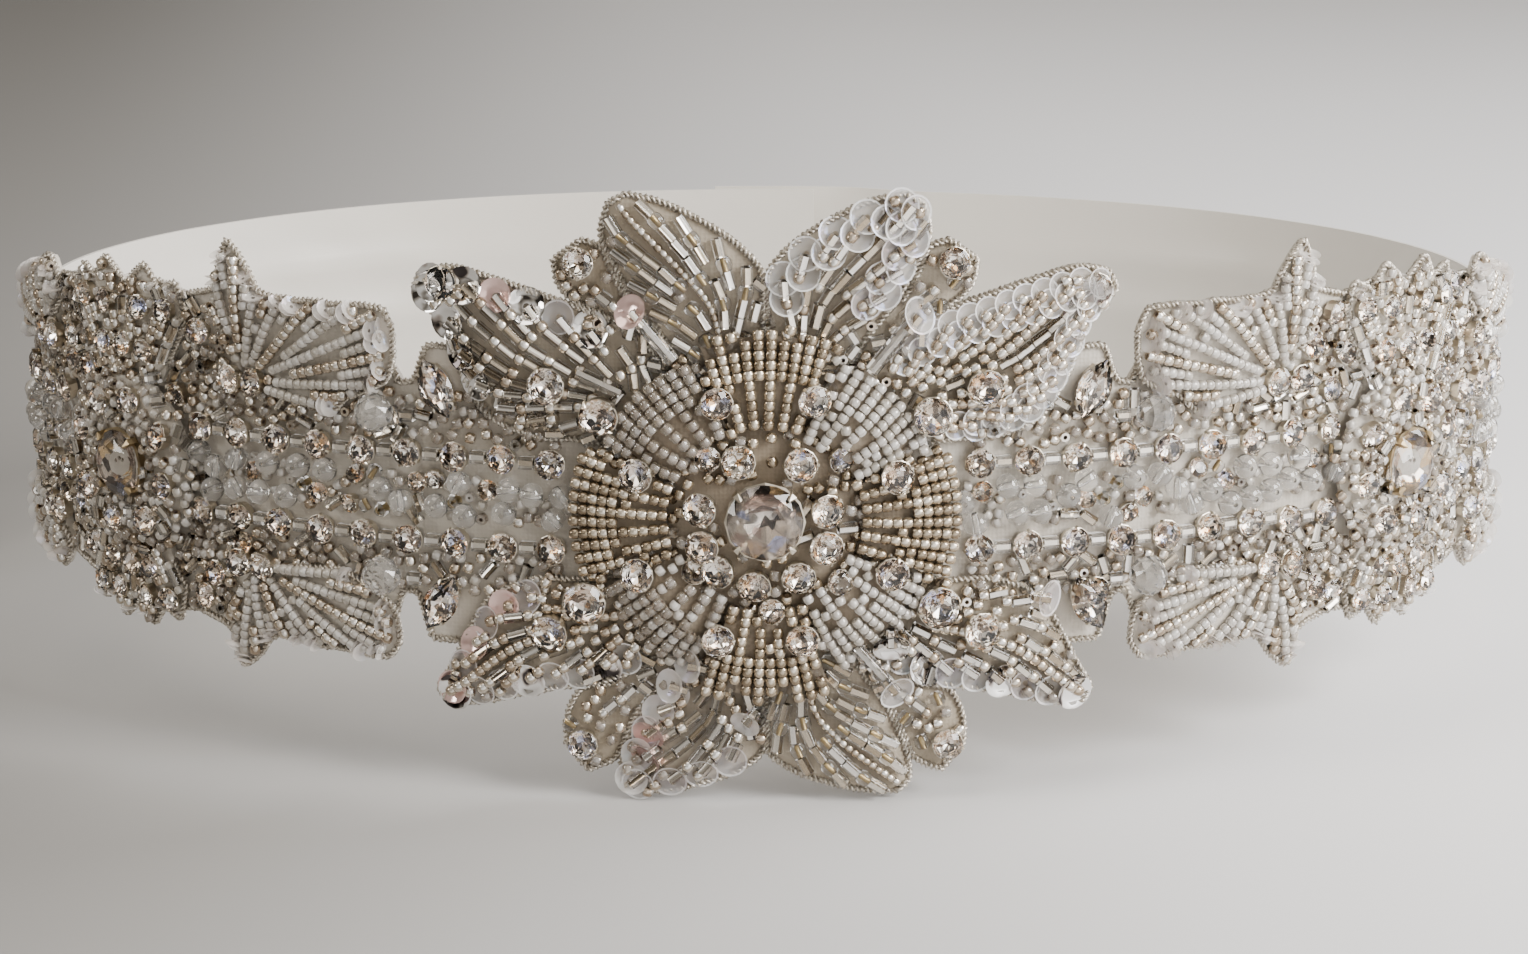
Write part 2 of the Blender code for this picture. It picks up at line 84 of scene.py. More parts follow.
# The flower's middle
CORE_FLOOR = 3.4  # the top of the padding round the centre stone
RING_ANGLES = [113, 59, 9, -25, -61, -99, -132, -156, 170]
RING_RADII = [10.2, 10.4, 9.6, 10.2, 10.4, 10.6, 10.8, 10.4, 10.0]
INNER_PAD_ANGLE = 20.0
DOME_RADII = (14.2, 26.0)
ROWS_RADII = (15.0, 28.6)

# Rosettes
ROSETTE = 112.3
ROSETTE_RING = (6.1, 14.6)
ROSETTE_FLOOR = 3.4
UNDER_RING = 1.8  # the foot of the pad under the ring
FAN_START = 0.14
CROWN_START = 15.2

# Chains of stones
CHAIN_HEIGHTS = {"upper": 7.6, "lower": -6.2}
CHAIN_START = 31.0
CHAIN_END = 163.0
CHAIN_PITCH = 7.8
CUP_HALF = 2.15
TRAIL = (-3.0, 4.4)

# How far out the middles of stones and beads lie, and the diameters of stones
RING_OUT = 6.1
RING_STONE = 5.2
CORE_OUT = 5.0
CORE_STONE = 4.0
CHAIN_OUT = 2.3
CHAIN_STONE = 4.7
LINK_OUT = 1.2
LINK_STRETCH = 1.1
TRAIL_STONE = 3.3
LARGE_BEAD_OUT = 3.2
BESIDE_BEAD = (4.9, 0.4, 1.3)  # the square bead by a large one: nearer the front, lower, how far out
NAVETTE_OUT = 2.9
FIELD_STONE = 4.2
CROWN_STONE = 4.0
FAN_ROOT_OUT = 3.2
FAN_ROOT_STONE = 4.6
FAN_ROOT_OFFSET = 2.3
FAN_ROW_PITCH = 1.8
CROWN_COLUMNS = 13
SHARP = math.radians(50)  # edges of beads above this angle stay sharp
SHARP_CLOTH = math.radians(60)
STONE_SEAT = 1.6  # from the cloth under a flower's stone to its middle
STONE_SHIFT = 0.35  # how far a stone sewn by hand may be off
RIPPLE = 0.05  # of the cloth between its beads
PETAL_RIPPLE = 0.06

# Threads of a petal, as shares of its length, and the sequins that close them
THREAD_FIRST = 0.95
THREAD_SPREAD = 0.66
THREAD_LENGTH = 0.46
THREAD_BEND = 0.14
THREAD_ROOM = 0.72  # the share of a petal's length that its threads take up
ROOT_END = 0.27
SEQUIN_INSET = 2.5
SEQUIN_PITCH = 3.2  # from one row of sequins to the next
BEAD_INSET = 1.3
SEQUIN_LEAN = 0.22
MIRROR_SIZE = 1.22
SEQUIN_SIZE = 1.1
CLOSE_SEQUIN_SIZE = 0.95  # where the threads lie close together
CLOSE_PITCH = 3.5
FAN_SEQUIN_SIZE = 0.70
CROWN_SEQUIN_SIZE = 0.6

SIDES = {"left": -1, "right": 1}

Station = namedtuple("Station", "along top foot")
Ray = namedtuple("Ray", "angle reach")
Leaf = namedtuple("Leaf", "name upper lower rise")
Style = namedtuple("Style", "leaf side high low rows bare pitch thread vein fill density")
Field = namedtuple("Field", "start end low high stones tries")
Lamp = namedtuple("Lamp", "name position target size power color")

BAND = [
    Station(0.0, 24.0, -22.0),
    Station(36.0, 24.0, -22.0),
    Station(45.0, 25.0, -22.5),
    Station(53.4, 25.0, -22.5),
    Station(55.6, 19.0, -15.2),
    Station(58.6, 18.6, -15.0),
    Station(60.4, 27.0, -23.0),
    Station(67.0, 28.5, -24.5),
    Station(74.0, 28.0, -24.0),
    Station(81.0, 28.5, -23.0),
    Station(88.5, 34.5, -27.5),
    Station(92.5, 30.5, -25.0),
    Station(98.5, 29.0, -23.5),
    Station(105.5, 30.5, -24.5),
    Station(112.3, 29.0, -23.5),
    Station(119.1, 30.5, -24.5),
    Station(126.1, 28.5, -22.5),
    Station(132.1, 27.5, -21.5),
    Station(138.1, 27.0, -20.5),
    Station(144.1, 25.0, -19.5),
    Station(150.1, 23.5, -18.5),
    Station(156.1, 22.0, -17.7),
    Station(162.1, 20.7, -17.0),
    Station(BAND_END, RIBBON_TOP, RIBBON_FOOT),
]

# Petals and lobes of the flower's right half, as the points (along, up) of their two edges
LEAF_TABLE = [
    Leaf(
        "petal_top",
        [
            (0.3, 14.5), (0.3, 27.0), (0.6, 38.6), (4.5, 43.0),
            (10.0, 46.6), (16.0, 49.4), (20.8, 50.3),
        ],
        [
            (6.6, 12.9), (11.0, 21.0), (15.5, 28.0), (20.0, 34.0),
            (22.6, 39.0), (24.6, 44.5), (23.4, 48.9),
        ],
        1.3,
    ),
    Leaf(
        "petal_high",
        [
            (8.3, 12.1), (13.0, 20.0), (18.0, 26.5), (25.0, 31.0),
            (34.0, 34.2), (42.0, 36.6), (48.5, 38.0), (53.0, 37.0),
        ],
        [
            (13.4, 6.4), (20.0, 9.0), (27.0, 11.2), (36.0, 11.7),
            (43.0, 14.6), (46.6, 20.0), (50.0, 28.5), (54.4, 34.0),
        ],
        1.3,
    ),
    Leaf(
        "petal_low",
        [
            (13.4, -6.4), (20.0, -9.0), (27.0, -11.0), (36.0, -11.4),
            (43.0, -14.6), (46.6, -20.0), (49.3, -25.5), (51.8, -29.8),
        ],
        [
            (8.3, -12.1), (13.0, -19.0), (18.0, -24.0), (24.0, -27.0),
            (31.0, -28.4), (38.0, -29.9), (44.0, -31.6), (49.8, -32.4),
        ],
        1.3,
    ),
    Leaf(
        "petal_bottom",
        [
            (6.6, -12.9), (11.0, -20.0), (15.3, -26.0), (18.5, -30.5),
            (20.6, -35.0), (22.2, -39.5), (22.4, -42.8),
        ],
        [
            (0.3, -14.5), (0.3, -27.0), (0.6, -38.4), (4.5, -41.2),
            (10.0, -43.2), (16.0, -44.5), (20.2, -44.7),
        ],
        1.3,
    ),
    Leaf(
        "lobe_high",
        [(18.2, 30.6), (20.7, 33.6), (23.3, 38.6), (24.7, 42.0), (27.6, 43.0)],
        [(20.2, 28.5), (24.7, 31.5), (27.9, 32.9), (31.2, 35.8), (32.0, 39.8)],
        0.3,
    ),
    Leaf(
        "lobe_low",
        [(19.3, -25.4), (23.8, -27.6), (28.6, -28.7), (30.8, -32.8), (31.0, -37.4)],
        [(17.3, -28.0), (19.0, -30.2), (21.2, -34.8), (23.2, -39.4), (27.4, -41.6)],
        0.3,
    ),
]
LEAVES = {leaf.name: leaf for leaf in LEAF_TABLE}
# The cloth between two petals under each lobe, as its four corners
WEBS = [
    ((11.0, 20.5), (18.4, 31.4), (12.6, 19.0), (21.0, 29.0)),
    ((11.0, -19.0), (17.8, -29.0), (12.6, -18.0), (19.6, -26.0)),
]

# The right rosette's fans, from their roots: 180 degrees points away from the rosette
FAN_ROOTS = {"high": (26.3, 16.7), "low": (27.0, -13.6)}
FANS = {
    ("near", "high"): [
        Ray(192, 17.0), Ray(183, 19.0), Ray(175, 26.5), Ray(167, 28.2), Ray(159, 29.6),
        Ray(152, 29.6), Ray(142, 22.5), Ray(128, 17.6), Ray(114, 15.4), Ray(103, 15.2),
        Ray(94, 19.0), Ray(86, 22.8), Ray(76, 17.5), Ray(62, 9.0),
    ],
    ("near", "low"): [
        Ray(184, 16.5), Ray(178, 20.5), Ray(171, 26.0), Ray(166, 27.4), Ray(160, 28.6),
        Ray(154, 28.0), Ray(144, 19.8), Ray(128, 14.6), Ray(114, 12.2), Ray(104, 12.4),
        Ray(93, 15.2), Ray(82, 17.6), Ray(72, 13.4), Ray(60, 8.5),
    ],
    ("far", "high"): [
        Ray(192, 17.0), Ray(183, 22.0), Ray(175, 26.0), Ray(168, 25.0), Ray(160, 21.0),
        Ray(150, 17.4), Ray(138, 14.8), Ray(124, 13.0), Ray(110, 12.2), Ray(96, 13.0),
        Ray(84, 13.4), Ray(72, 10.6), Ray(60, 7.6),
    ],
    ("far", "low"): [
        Ray(184, 16.5), Ray(177, 22.0), Ray(170, 25.0), Ray(163, 21.0), Ray(154, 17.0),
        Ray(143, 13.6), Ray(130, 11.4), Ray(116, 10.0), Ray(100, 9.6), Ray(86, 10.4),
        Ray(72, 8.8), Ray(60, 7.0),
    ],
}
CROWNS = {
    "high": [Ray(60, 27.5), Ray(68, 33.4), Ray(74, 30.2), Ray(81, 33.6), Ray(90, 29.0)],
    "low": [Ray(60, 23.0), Ray(68, 27.8), Ray(75, 25.0), Ray(82, 28.0), Ray(90, 24.4)],
}

# How each petal is sewn: sequins along its two edges, their spacing, and the beads of its threads
STYLES = [
    Style(
        "petal_high", "left", ["mirror", "mirror", "pink", "mirror", "smoke"], ["mirror"], 1, (0.42, 0.62),
        5.0, ["bugle", "seed_silver"], ["seed_silver", "bugle"], "bugle", 90,
    ),
    Style(
        "petal_high", "right", ["pearl"], ["pearl"], 2, (0.36, 0.36),
        3.0, ["seed_silver"], ["bugle"], "seed_silver", 150,
    ),
    Style(
        "petal_top", "left", [], [], 1, (1, 1),
        5.0, ["bugle", "seed_gold", "bugle", "bugle"], ["seed_tiny"], "gold", 260,
    ),
    Style(
        "petal_top", "right", ["pearl"], ["pearl", "smoke"], 2, (0.4, 0.5),
        4.4, ["bugle", "seed_silver"], ["tube", "bugle"], "bugle", 110,
    ),
    Style(
        "petal_low", "left", ["pink", "smoke"], ["mirror", "pearl", "pearl"], 1, (0.46, 0.36),
        3.8, ["seed_silver", "seed_silver", "bugle"], ["seed_silver"], "seed_silver", 130,
    ),
    Style(
        "petal_low", "right", [], ["mirror", "pearl", "smoke"], 1, (1, 0.34),
        3.9, ["bugle", "seed_silver"], ["seed_silver"], "seed_silver", 150,
    ),
    Style(
        "petal_bottom", "left", ["white", "white", "smoke"], ["pearl", "smoke"], 1, (0.4, 0.5),
        4.0, ["bugle", "seed_silver"], ["bugle"], "seed_silver", 120,
    ),
    Style(
        "petal_bottom", "right", [], [], 1, (1, 1),
        4.6, ["bugle", "seed_gold", "bugle"], ["seed_tiny"], "gold", 260,
    ),
]

# Beads that fill a petal between its threads
FILLS = {
    "bugle": ["bugle", "seed_silver"],
    "gold": ["seed_gold", "tube", "square", "seed_clear"],
    "seed_silver": ["seed_silver", "seed_silver", "seed_clear"],
}

# Sequins that stand alone, as (kind, along, up, out, turn of the thread in degrees, size)
SINGLE_SEQUINS = [
    ("pink", -19.8, 32.2, 3.4, -48.0, 1.12),
    ("pearl", 22.6, 31.6, 3.6, -128.0, 1.2),
    ("pearl", 19.9, -27.9, 3.4, 130.0, 1.2),
    ("pink", -17.6, -34.6, 3.3, 40.0, 1.1),
    ("pink", -18.0, -38.4, 3.1, 40.0, 1.1),
    ("white", -11.4, -23.6, 3.6, -12.0, 1.1),
    ("white", -14.2, -27.0, 3.4, -16.0, 1.1),
    ("white", -2.8, -32.6, 3.4, 50.0, 1.0),
    ("smoke", 43.2, -13.9, 4.6, 170.0, 1.2),
    ("mirror", 19.2, -20.4, 4.0, 90.0, 1.2),
]
# Long clear tubes, from (along, up) to (along, up), and how far out
LONG_TUBES = [
    ((-18.8, 31.2), (-13.6, 25.0), 4.4),
    ((21.6, 30.6), (15.8, 23.4), 4.4),
    ((19.0, -26.8), (13.9, -20.8), 4.2),
    ((-28.2, 22.6), (-21.6, 19.6), 4.0),
]

# Cupped stones of the flower, as (along, up, out, diameter), on the right half
FLOWER_STONES = [
    (7.0, 18.6, 4.6, 5.0),
    (6.4, -18.6, 4.6, 5.0),
    (19.3, 7.3, 4.4, 5.2),
    (18.7, -8.5, 4.4, 5.2),
    (33.0, 20.3, 3.2, 5.8),
    (25.2, 15.9, 3.3, 6.0),
    (33.0, -19.0, 3.2, 5.8),
    (26.8, -14.9, 3.4, 6.6),
    (28.4, 39.6, 1.8, 4.8),
    (28.0, -37.2, 1.8, 4.8),
]
TIP_STONES = [
    ("left", 49.4, 35.6, 3.0, 5.2),
    ("right", 50.6, 34.6, 3.0, 4.8),
    ("right", 52.0, -14.0, 3.0, 4.4),
]
CORE_STONES = [(-8.6, 9.6), (11.6, 9.4), (11.4, -10.0), (1.0, -14.6), (-10.6, -8.2)]
# Beads of the four crowned pads round the flower's middle, by their numbers
DOME_BEADS = {
    1: ["seed_pearl"],
    3: ["seed_clear"],
    5: ["seed_clear", "seed_clear", "seed_pearl"],
    7: ["seed_pearl"],
}
# Pointed stones, as (along, up, turn in degrees), and large faceted beads, as (along, up)
NAVETTES = {"high": (50.9, 18.6, 66.0), "low": (50.9, -15.9, -62.0)}
LARGE_BEADS = {"high": (61.3, 14.1), "low": (60.7, -12.3)}

# Stones of a rosette's ring, as (angle, radius, diameter), and of its leaves, as (s, w)
ROSETTE_STONES = [
    (20, 11.0, 4.4), (62, 10.6, 5.0), (105, 10.8, 4.4), (150, 11.0, 4.6),
    (195, 10.6, 4.4), (238, 11.0, 4.8), (282, 10.6, 4.4), (328, 11.2, 4.6),
]
CROWN_STONES = [(0.13, 0.72), (0.36, 0.62), (0.5, 0.3), (0.64, 0.62), (0.87, 0.72), (0.25, 0.3), (0.75, 0.3)]

# Parts of the band that are strewn with beads, with how many loose stones and beads are tried on each
FIELDS = [
    Field(32.0, 55.0, 9.9, 17.5, 0, 700),
    Field(55.0, 98.0, 9.9, 17.2, 2, 1500),
    Field(32.0, 98.0, -14.0, -8.6, 2, 1800),
    Field(ROSETTE - 21.8, ROSETTE - 13.2, 10.0, 28.0, 7, 2000),
    Field(ROSETTE - 21.8, ROSETTE - 13.2, -22.8, -9.0, 5, 1800),
    Field(ROSETTE - 13.4, ROSETTE - 9.8, 11.6, 17.5, 1, 500),
    Field(ROSETTE - 13.4, ROSETTE - 9.8, -17.5, -11.6, 1, 500),
    Field(ROSETTE + 9.8, ROSETTE + 13.4, 11.6, 17.5, 1, 500),
    Field(ROSETTE + 9.8, ROSETTE + 13.4, -17.5, -11.6, 1, 500),
    Field(ROSETTE + 13.2, ROSETTE + 21.8, 10.0, 27.0, 6, 1700),
    Field(ROSETTE + 13.2, ROSETTE + 21.8, -19.5, -9.0, 4, 1300),
    Field(128.0, 166.0, 9.9, 17.0, 2, 1300),
    Field(128.0, 166.0, -13.5, -8.6, 2, 1000),
]

# The camera, at the photo's distance and angle
CAMERA_DISTANCE = 550.0
CAMERA_PITCH = math.radians(14.0)
CAMERA_TARGET = Vector((-0.15, -97.0, 6.4))
FRAME_WIDTH_PX = 1528
FOCAL_PX = 3575
CAMERA_FOV = 2 * math.atan(FRAME_WIDTH_PX / 2 / FOCAL_PX)

# The floor, at the height of the lowest sequins, with painted light: its colours go from dark at the left to
# pale at the right, for the window's light
FLOOR = -45.9
FLOOR_PAINTED_LIGHT = [(0.0, (0.25, 0.243, 0.23)), (1.0, (0.90, 0.90, 0.91))]
FLOOR_TURN = -0.145  # of the line across which the colours change, in radians
FLOOR_FADE = (-0.20, 0.20)  # where they change, in metres
FLOOR_FRONT = -3.0
FLOOR_LENGTH = 7.0
FLOOR_HALF_WIDTH = 4.0
FLOOR_FLAT = 0.72  # the share of the length that is flat
FLOOR_RISE = 10.8
FLOOR_STEPS = 24

# Soft lamps in metres and watts. The window is on the right, and the others are weak or far
LAMPS = [
    Lamp("window", (0.60, -0.42, 0.38), (0.0, 0.0, 0.0), (0.34, 0.46), 11.0, (1.0, 0.98, 0.96)),
    Lamp("front", (0.45, -1.3, 0.15), (0.0, 0.0, 0.0), (1.0, 0.7), 2.4, (1.0, 0.98, 0.95)),
    Lamp("top", (-0.3, -0.3, 0.9), (-0.1, 0.0, 0.0), (0.6, 0.6), 3.6, (1.0, 0.92, 0.82)),
    Lamp("side", (0.95, 0.30, 0.50), (0.1, 0.0, 0.0), (0.5, 0.5), 12.0, (0.98, 0.98, 1.0)),
    Lamp("left", (-0.75, -0.30, 0.28), (-0.11, -0.03, 0.0), (0.22, 0.22), 1.6, (1.0, 0.97, 0.92)),
]
# The room that the stones mirror: bright and dark stretches, and its strength on the left and right
ROOM_COLORS = [(0.36, (0.06, 0.05, 0.04)), (0.46, (0.50, 0.45, 0.38)), (0.56, (1.1, 1.04, 0.96))]
ROOM_STRENGTH = (0.32, 0.95)

# Colours by their places in an order of 0 to 1: linings of beads, and foils of stones
LINING_TINTS = [
    (0.0, (0.84, 0.79, 0.70)), (0.30, (0.62, 0.54, 0.43)),
    (0.55, (0.93, 0.90, 0.85)), (0.82, (0.42, 0.34, 0.24)),
]
SILVER_TINTS = [
    (0.0, (0.97, 0.93, 0.87)), (0.35, (0.76, 0.69, 0.60)),
    (0.55, (1.0, 0.99, 0.96)), (0.85, (0.60, 0.51, 0.41)),
]
# Warm tints for the beads round the flower's middle, darker than the silver ones: partly the beads' warmer
# tone, partly painted shade from the stones there.
WARM_SHADED_TINTS = [
    (0.0, (0.72, 0.64, 0.52)), (0.35, (0.46, 0.385, 0.285)),
    (0.6, (0.88, 0.81, 0.70)), (0.80, (0.37, 0.30, 0.21)),
]
# The foils' colours are painted glints: bright flashes, painted dark reflections and painted blue and orange
# fire on a few facets.
FOIL_GLINT_COLORS = [
    (0.0, (0.95, 0.90, 0.84)), (0.24, (0.64, 0.53, 0.42)), (0.44, (0.99, 0.96, 0.91)),
    (0.60, (0.17, 0.13, 0.10)), (0.78, (0.90, 0.78, 0.70)), (0.90, (0.62, 0.66, 0.88)),
    (0.94, (0.92, 0.60, 0.34)), (0.975, (0.10, 0.09, 0.10)),
]
PALE_FOIL_GLINT_COLORS = [
    (0.0, (0.62, 0.54, 0.46)), (0.34, (0.50, 0.38, 0.33)), (0.50, (0.86, 0.80, 0.73)),
    (0.68, (0.08, 0.06, 0.05)), (0.84, (0.80, 0.58, 0.32)), (0.92, (0.46, 0.50, 0.72)),
]


# Places on the sash


def waist_table():
    """Angles round the ellipse of the waist, and the distance along it at each."""
    angles = np.linspace(0.0, 1.25 * math.pi, 3001)
    speed = np.hypot(HALF_WIDTH * np.cos(angles), HALF_DEPTH * np.sin(angles))
    steps = (speed[1:] + speed[:-1]) / 2 * np.diff(angles)
    return angles, np.concatenate([[0.0], np.cumsum(steps)])


ANGLES, RUN = waist_table()
BACK = float(np.interp(math.pi, ANGLES, RUN))


def unit(vectors):
    return vectors / np.maximum(np.linalg.norm(vectors, axis=-1, keepdims=True), 1e-12)


def waist(along):
    """Points of the band's outer face at mid height, and the directions straight out from them."""
    along = np.asarray(along, float)
    angle = np.sign(along) * np.interp(np.abs(along), RUN, ANGLES)
    zero = np.zeros_like(angle)
    foot = np.stack([HALF_WIDTH * np.sin(angle), -HALF_DEPTH * np.cos(angle), zero], -1)
    normal = np.stack([np.sin(angle) / HALF_WIDTH, -np.cos(angle) / HALF_DEPTH, zero], -1)
    return foot, unit(normal)


def place(along, up, out):
    """Points, in millimetres, of places on the sash."""
    along, up, out = np.broadcast_arrays(*(np.asarray(x, float) for x in (along, up, out)))
    foot, normal = waist(along)
    points = foot + normal * (out + LEAN * up * up)[..., None]
    points[..., 2] = up
    return points


def smooth_step(low, high, value):
    share = np.clip((value - low) / (high - low), 0.0, 1.0)
    return share * share * (3.0 - 2.0 * share)


def distances(points):
    """The distance along a line to each of its points."""
    return np.concatenate([[0.0], np.cumsum(np.linalg.norm(np.diff(points, axis=0), axis=1))])


def on_line(places, run, values):
    """Points or directions at some distances along a line, from those at the distances in run."""
    return np.stack([np.interp(places, run, values[:, axis]) for axis in range(3)], -1)


def curve_through(points):
    """A smooth curve through the points, as a function of 0 to 1 that is even in length."""
    points = np.array(points, float)
    knots = distances(points)
    knots /= knots[-1]
    slopes = np.gradient(points, knots, axis=0)

    def at(share):
        share = np.clip(np.asarray(share, float), 0.0, 1.0)
        i = np.clip(np.searchsorted(knots, share, side="right") - 1, 0, len(knots) - 2)
        gap = (knots[i + 1] - knots[i])[..., None]
        t = (share - knots[i])[..., None] / gap
        return (
            points[i] * (1 + 2 * t) * (1 - t) ** 2
            + points[i + 1] * t * t * (3 - 2 * t)
            + slopes[i] * gap * t * (1 - t) ** 2
            - slopes[i + 1] * gap * t * t * (1 - t)
        )

    return at


class Patch:
    """A stretch of cloth. spot turns (s, w) into (along, up), and height says how far out the cloth is."""

    def __init__(self, spot, height, step=0.01):
        self.spot = spot
        self.height = height
        self.step = step

    def at(self, s, w, lift=0.0):
        s, w = np.broadcast_arrays(np.asarray(s, float), np.asarray(w, float))
        along, up = self.spot(s, w)
        return place(along, up, self.height(s, w) + lift)

    def normal(self, s, w):
        s, w = np.broadcast_arrays(np.asarray(s, float), np.asarray(w, float))
        if self.step < 0.1:
            s, w = np.clip(s, 2 * self.step, 1 - 2 * self.step), np.clip(w, 2 * self.step, 1 - 2 * self.step)
        over_s = self.at(s + self.step, w) - self.at(s - self.step, w)
        over_w = self.at(s, w + self.step) - self.at(s, w - self.step)
        normal = unit(np.cross(over_s, over_w))
        outward = waist(self.spot(s, w)[0])[1]
        turn = np.sign((normal * outward).sum(-1))[..., None]
        return normal * turn


def leaf_patch(leaf, sign):
    upper, lower = curve_through(leaf.upper), curve_through(leaf.lower)

    def spot(s, w):
        points = lower(s) * (1 - w)[..., None] + upper(s) * w[..., None]
        return sign * np.maximum(points[..., 0], SEAM), points[..., 1]

    def height(s, w):
        edge = np.abs(2 * w - 1)
        return LEAF_CLOTH + leaf.rise * smooth_step(0.42, 0.7, s) * (1 - edge**2) * (1 - 0.5 * s**4)

    return Patch(spot, height)


def along_rays(rays, s):
    number = np.clip(s, 0.0, 1.0) * (len(rays) - 1)
    order = np.arange(len(rays))
    angle = np.interp(number, order, [ray.angle for ray in rays])
    reach = np.interp(number, order, [ray.reach for ray in rays])
    return np.radians(angle), reach


def fan_patch(reach_side, level, sign):
    root_out, root_up = FAN_ROOTS[level]
    upward = 1 if level == "high" else -1
    towards = 1 if reach_side == "near" else -1

    def spot(s, w):
        angle, reach = along_rays(FANS[reach_side, level], s)
        reach = reach * (FAN_START + w * (1 - FAN_START))
        along = ROSETTE - towards * (root_out - reach * np.cos(angle))
        return sign * along, root_up + upward * reach * np.sin(angle)

    def height(s, w):
        return LEAF_CLOTH + 0.9 * np.sin(math.pi * np.clip(w, 0.0, 0.9))

    return Patch(spot, height)


def mirrored(rays):
    return rays + [Ray(180 - ray.angle, ray.reach) for ray in reversed(rays[:-1])]


def crown_patch(level, sign):
    upward = 1 if level == "high" else -1
    rays = mirrored(CROWNS[level])

    def spot(s, w):
        angle, reach = along_rays(rays, s)
        radius = CROWN_START + w * (reach - CROWN_START)
        return sign * (ROSETTE + radius * np.cos(angle)), upward * radius * np.sin(angle)

    return Patch(spot, lambda s, w: LEAF_CLOTH + 0.8 * (1 - w))


def inner_patch(number):
    """One of the eight pads round the flower's middle, with s across it and w outwards."""
    near, far = DOME_RADII if number % 2 else ROWS_RADII

    def spot(s, w):
        angle = np.radians(45.0 * number + INNER_PAD_ANGLE * (2 * s - 1))
        radius = near + w * (far - near)
        return radius * np.cos(angle), radius * np.sin(angle)

    def height(s, w):
        rise = 1.7 if number % 2 else 0.5
        return 3.6 + rise * np.sin(math.pi * np.clip(w, 0, 1)) * np.sin(math.pi * np.clip(s, 0, 1)) - 0.9 * w

    return Patch(spot, height)


def gap_patch(number):
    """The strip between an inner pad and the next, where the petals' cloth shows."""

    def spot(s, w):
        angle = np.radians(45.0 * number + 22.5 + 3.0 * (2 * s - 1))
        radius = ROWS_RADII[0] + w * (ROWS_RADII[1] - ROWS_RADII[0])
        return radius * np.cos(angle), radius * np.sin(angle)

    return Patch(spot, lambda s, w: LEAF_CLOTH + 0.8 + 0.0 * s)


def ring_patch(centre, radii, floor):
    def spot(s, w):
        angle = 2 * math.pi * s
        radius = radii[0] + w * (radii[1] - radii[0])
        return centre + radius * np.cos(angle), radius * np.sin(angle)

    def height(s, w):
        return floor + 0.4 * np.sin(math.pi * np.clip(w, 0, 1)) - 1.6 * smooth_step(0.7, 1.15, w)

    return Patch(spot, height)


BAND_PATCH = Patch(lambda s, w: (s, w), lambda s, w: np.zeros_like(s), step=0.2)


# Materials


def principled(name, color, roughness, **values):
    material = bpy.data.materials.new(name)
    material.use_nodes = True
    shader = material.node_tree.nodes["Principled BSDF"]
    shader.inputs["Base Color"].default_value = (*color, 1.0)
    shader.inputs["Roughness"].default_value = roughness
    for label, value in values.items():
        shader.inputs[label.replace("_", " ")].default_value = value
    material.diffuse_color = (*color, 1.0)
    return material


def add_node(material, kind, **values):
    node = material.node_tree.nodes.new(kind)
    for label, value in values.items():
        if label in node.inputs:
            node.inputs[label].default_value = value
        else:
            setattr(node, label, value)
    return node


def link(material, source, target):
    material.node_tree.links.new(source, target)


def shader_of(material):
    return material.node_tree.nodes["Principled BSDF"]


def fill_ramp(ramp, stops):
    """Sets a colour ramp's stops, each (position, colour)."""
    elements = ramp.color_ramp.elements
    while len(elements) < len(stops):
        elements.new(0.5)
    for element, (position, color) in zip(elements, stops):
        element.position = position
        element.color = (*color, 1.0)


def color_ramp(material, factor, stops, stepped=False):
    """Colours the material by a factor. Gives the socket of that colour."""
    ramp = add_node(material, "ShaderNodeValToRGB")
    if stepped:
        ramp.color_ramp.interpolation = "CONSTANT"
    fill_ramp(ramp, stops)
    link(material, factor, ramp.inputs["Fac"])
    link(material, ramp.outputs["Color"], shader_of(material).inputs["Base Color"])
    return ramp.outputs["Color"]


def tint_by_bead(material, stops):
    """Each bead, stone or sequin takes one of the colours. Gives the socket of that colour."""
    geometry = add_node(material, "ShaderNodeNewGeometry")
    return color_ramp(material, geometry.outputs["Random Per Island"], stops, stepped=True)


def paint_light_by_slant(material, color, stops):
    """Painted light: multiplies the colour by a grey that changes from the face of a bead to its edges, as
    painted highlights and shade that follow the view.
    """
    slant = add_node(material, "ShaderNodeLayerWeight", Blend=0.5)
    ramp = add_node(material, "ShaderNodeValToRGB")
    fill_ramp(ramp, stops)
    mix = add_node(material, "ShaderNodeMix", data_type="RGBA", blend_type="MULTIPLY")
    mix.inputs["Factor"].default_value = 1.0
    link(material, slant.outputs["Facing"], ramp.inputs["Fac"])
    link(material, color, mix.inputs[6])
    link(material, ramp.outputs["Color"], mix.inputs[7])
    link(material, mix.outputs[2], shader_of(material).inputs["Base Color"])


def texture(material, kind, **values):
    """A texture that runs through the whole object, in metres."""
    coordinates = add_node(material, "ShaderNodeTexCoord")
    node = add_node(material, kind, **values)
    link(material, coordinates.outputs["Object"], node.inputs["Vector"])
    return node


def add_bump(material, height, strength, distance):
    bump = add_node(material, "ShaderNodeBump", Strength=strength, Distance=distance)
    link(material, height, bump.inputs["Height"])
    link(material, bump.outputs["Normal"], shader_of(material).inputs["Normal"])


def noise_bump(material, scale, detail, strength, distance):
    """A rough surface. Gives the socket of its noise."""
    noise = texture(material, "ShaderNodeTexNoise", Scale=scale, Detail=detail)
    add_bump(material, noise.outputs["Fac"], strength, distance)
    return noise.outputs["Fac"]


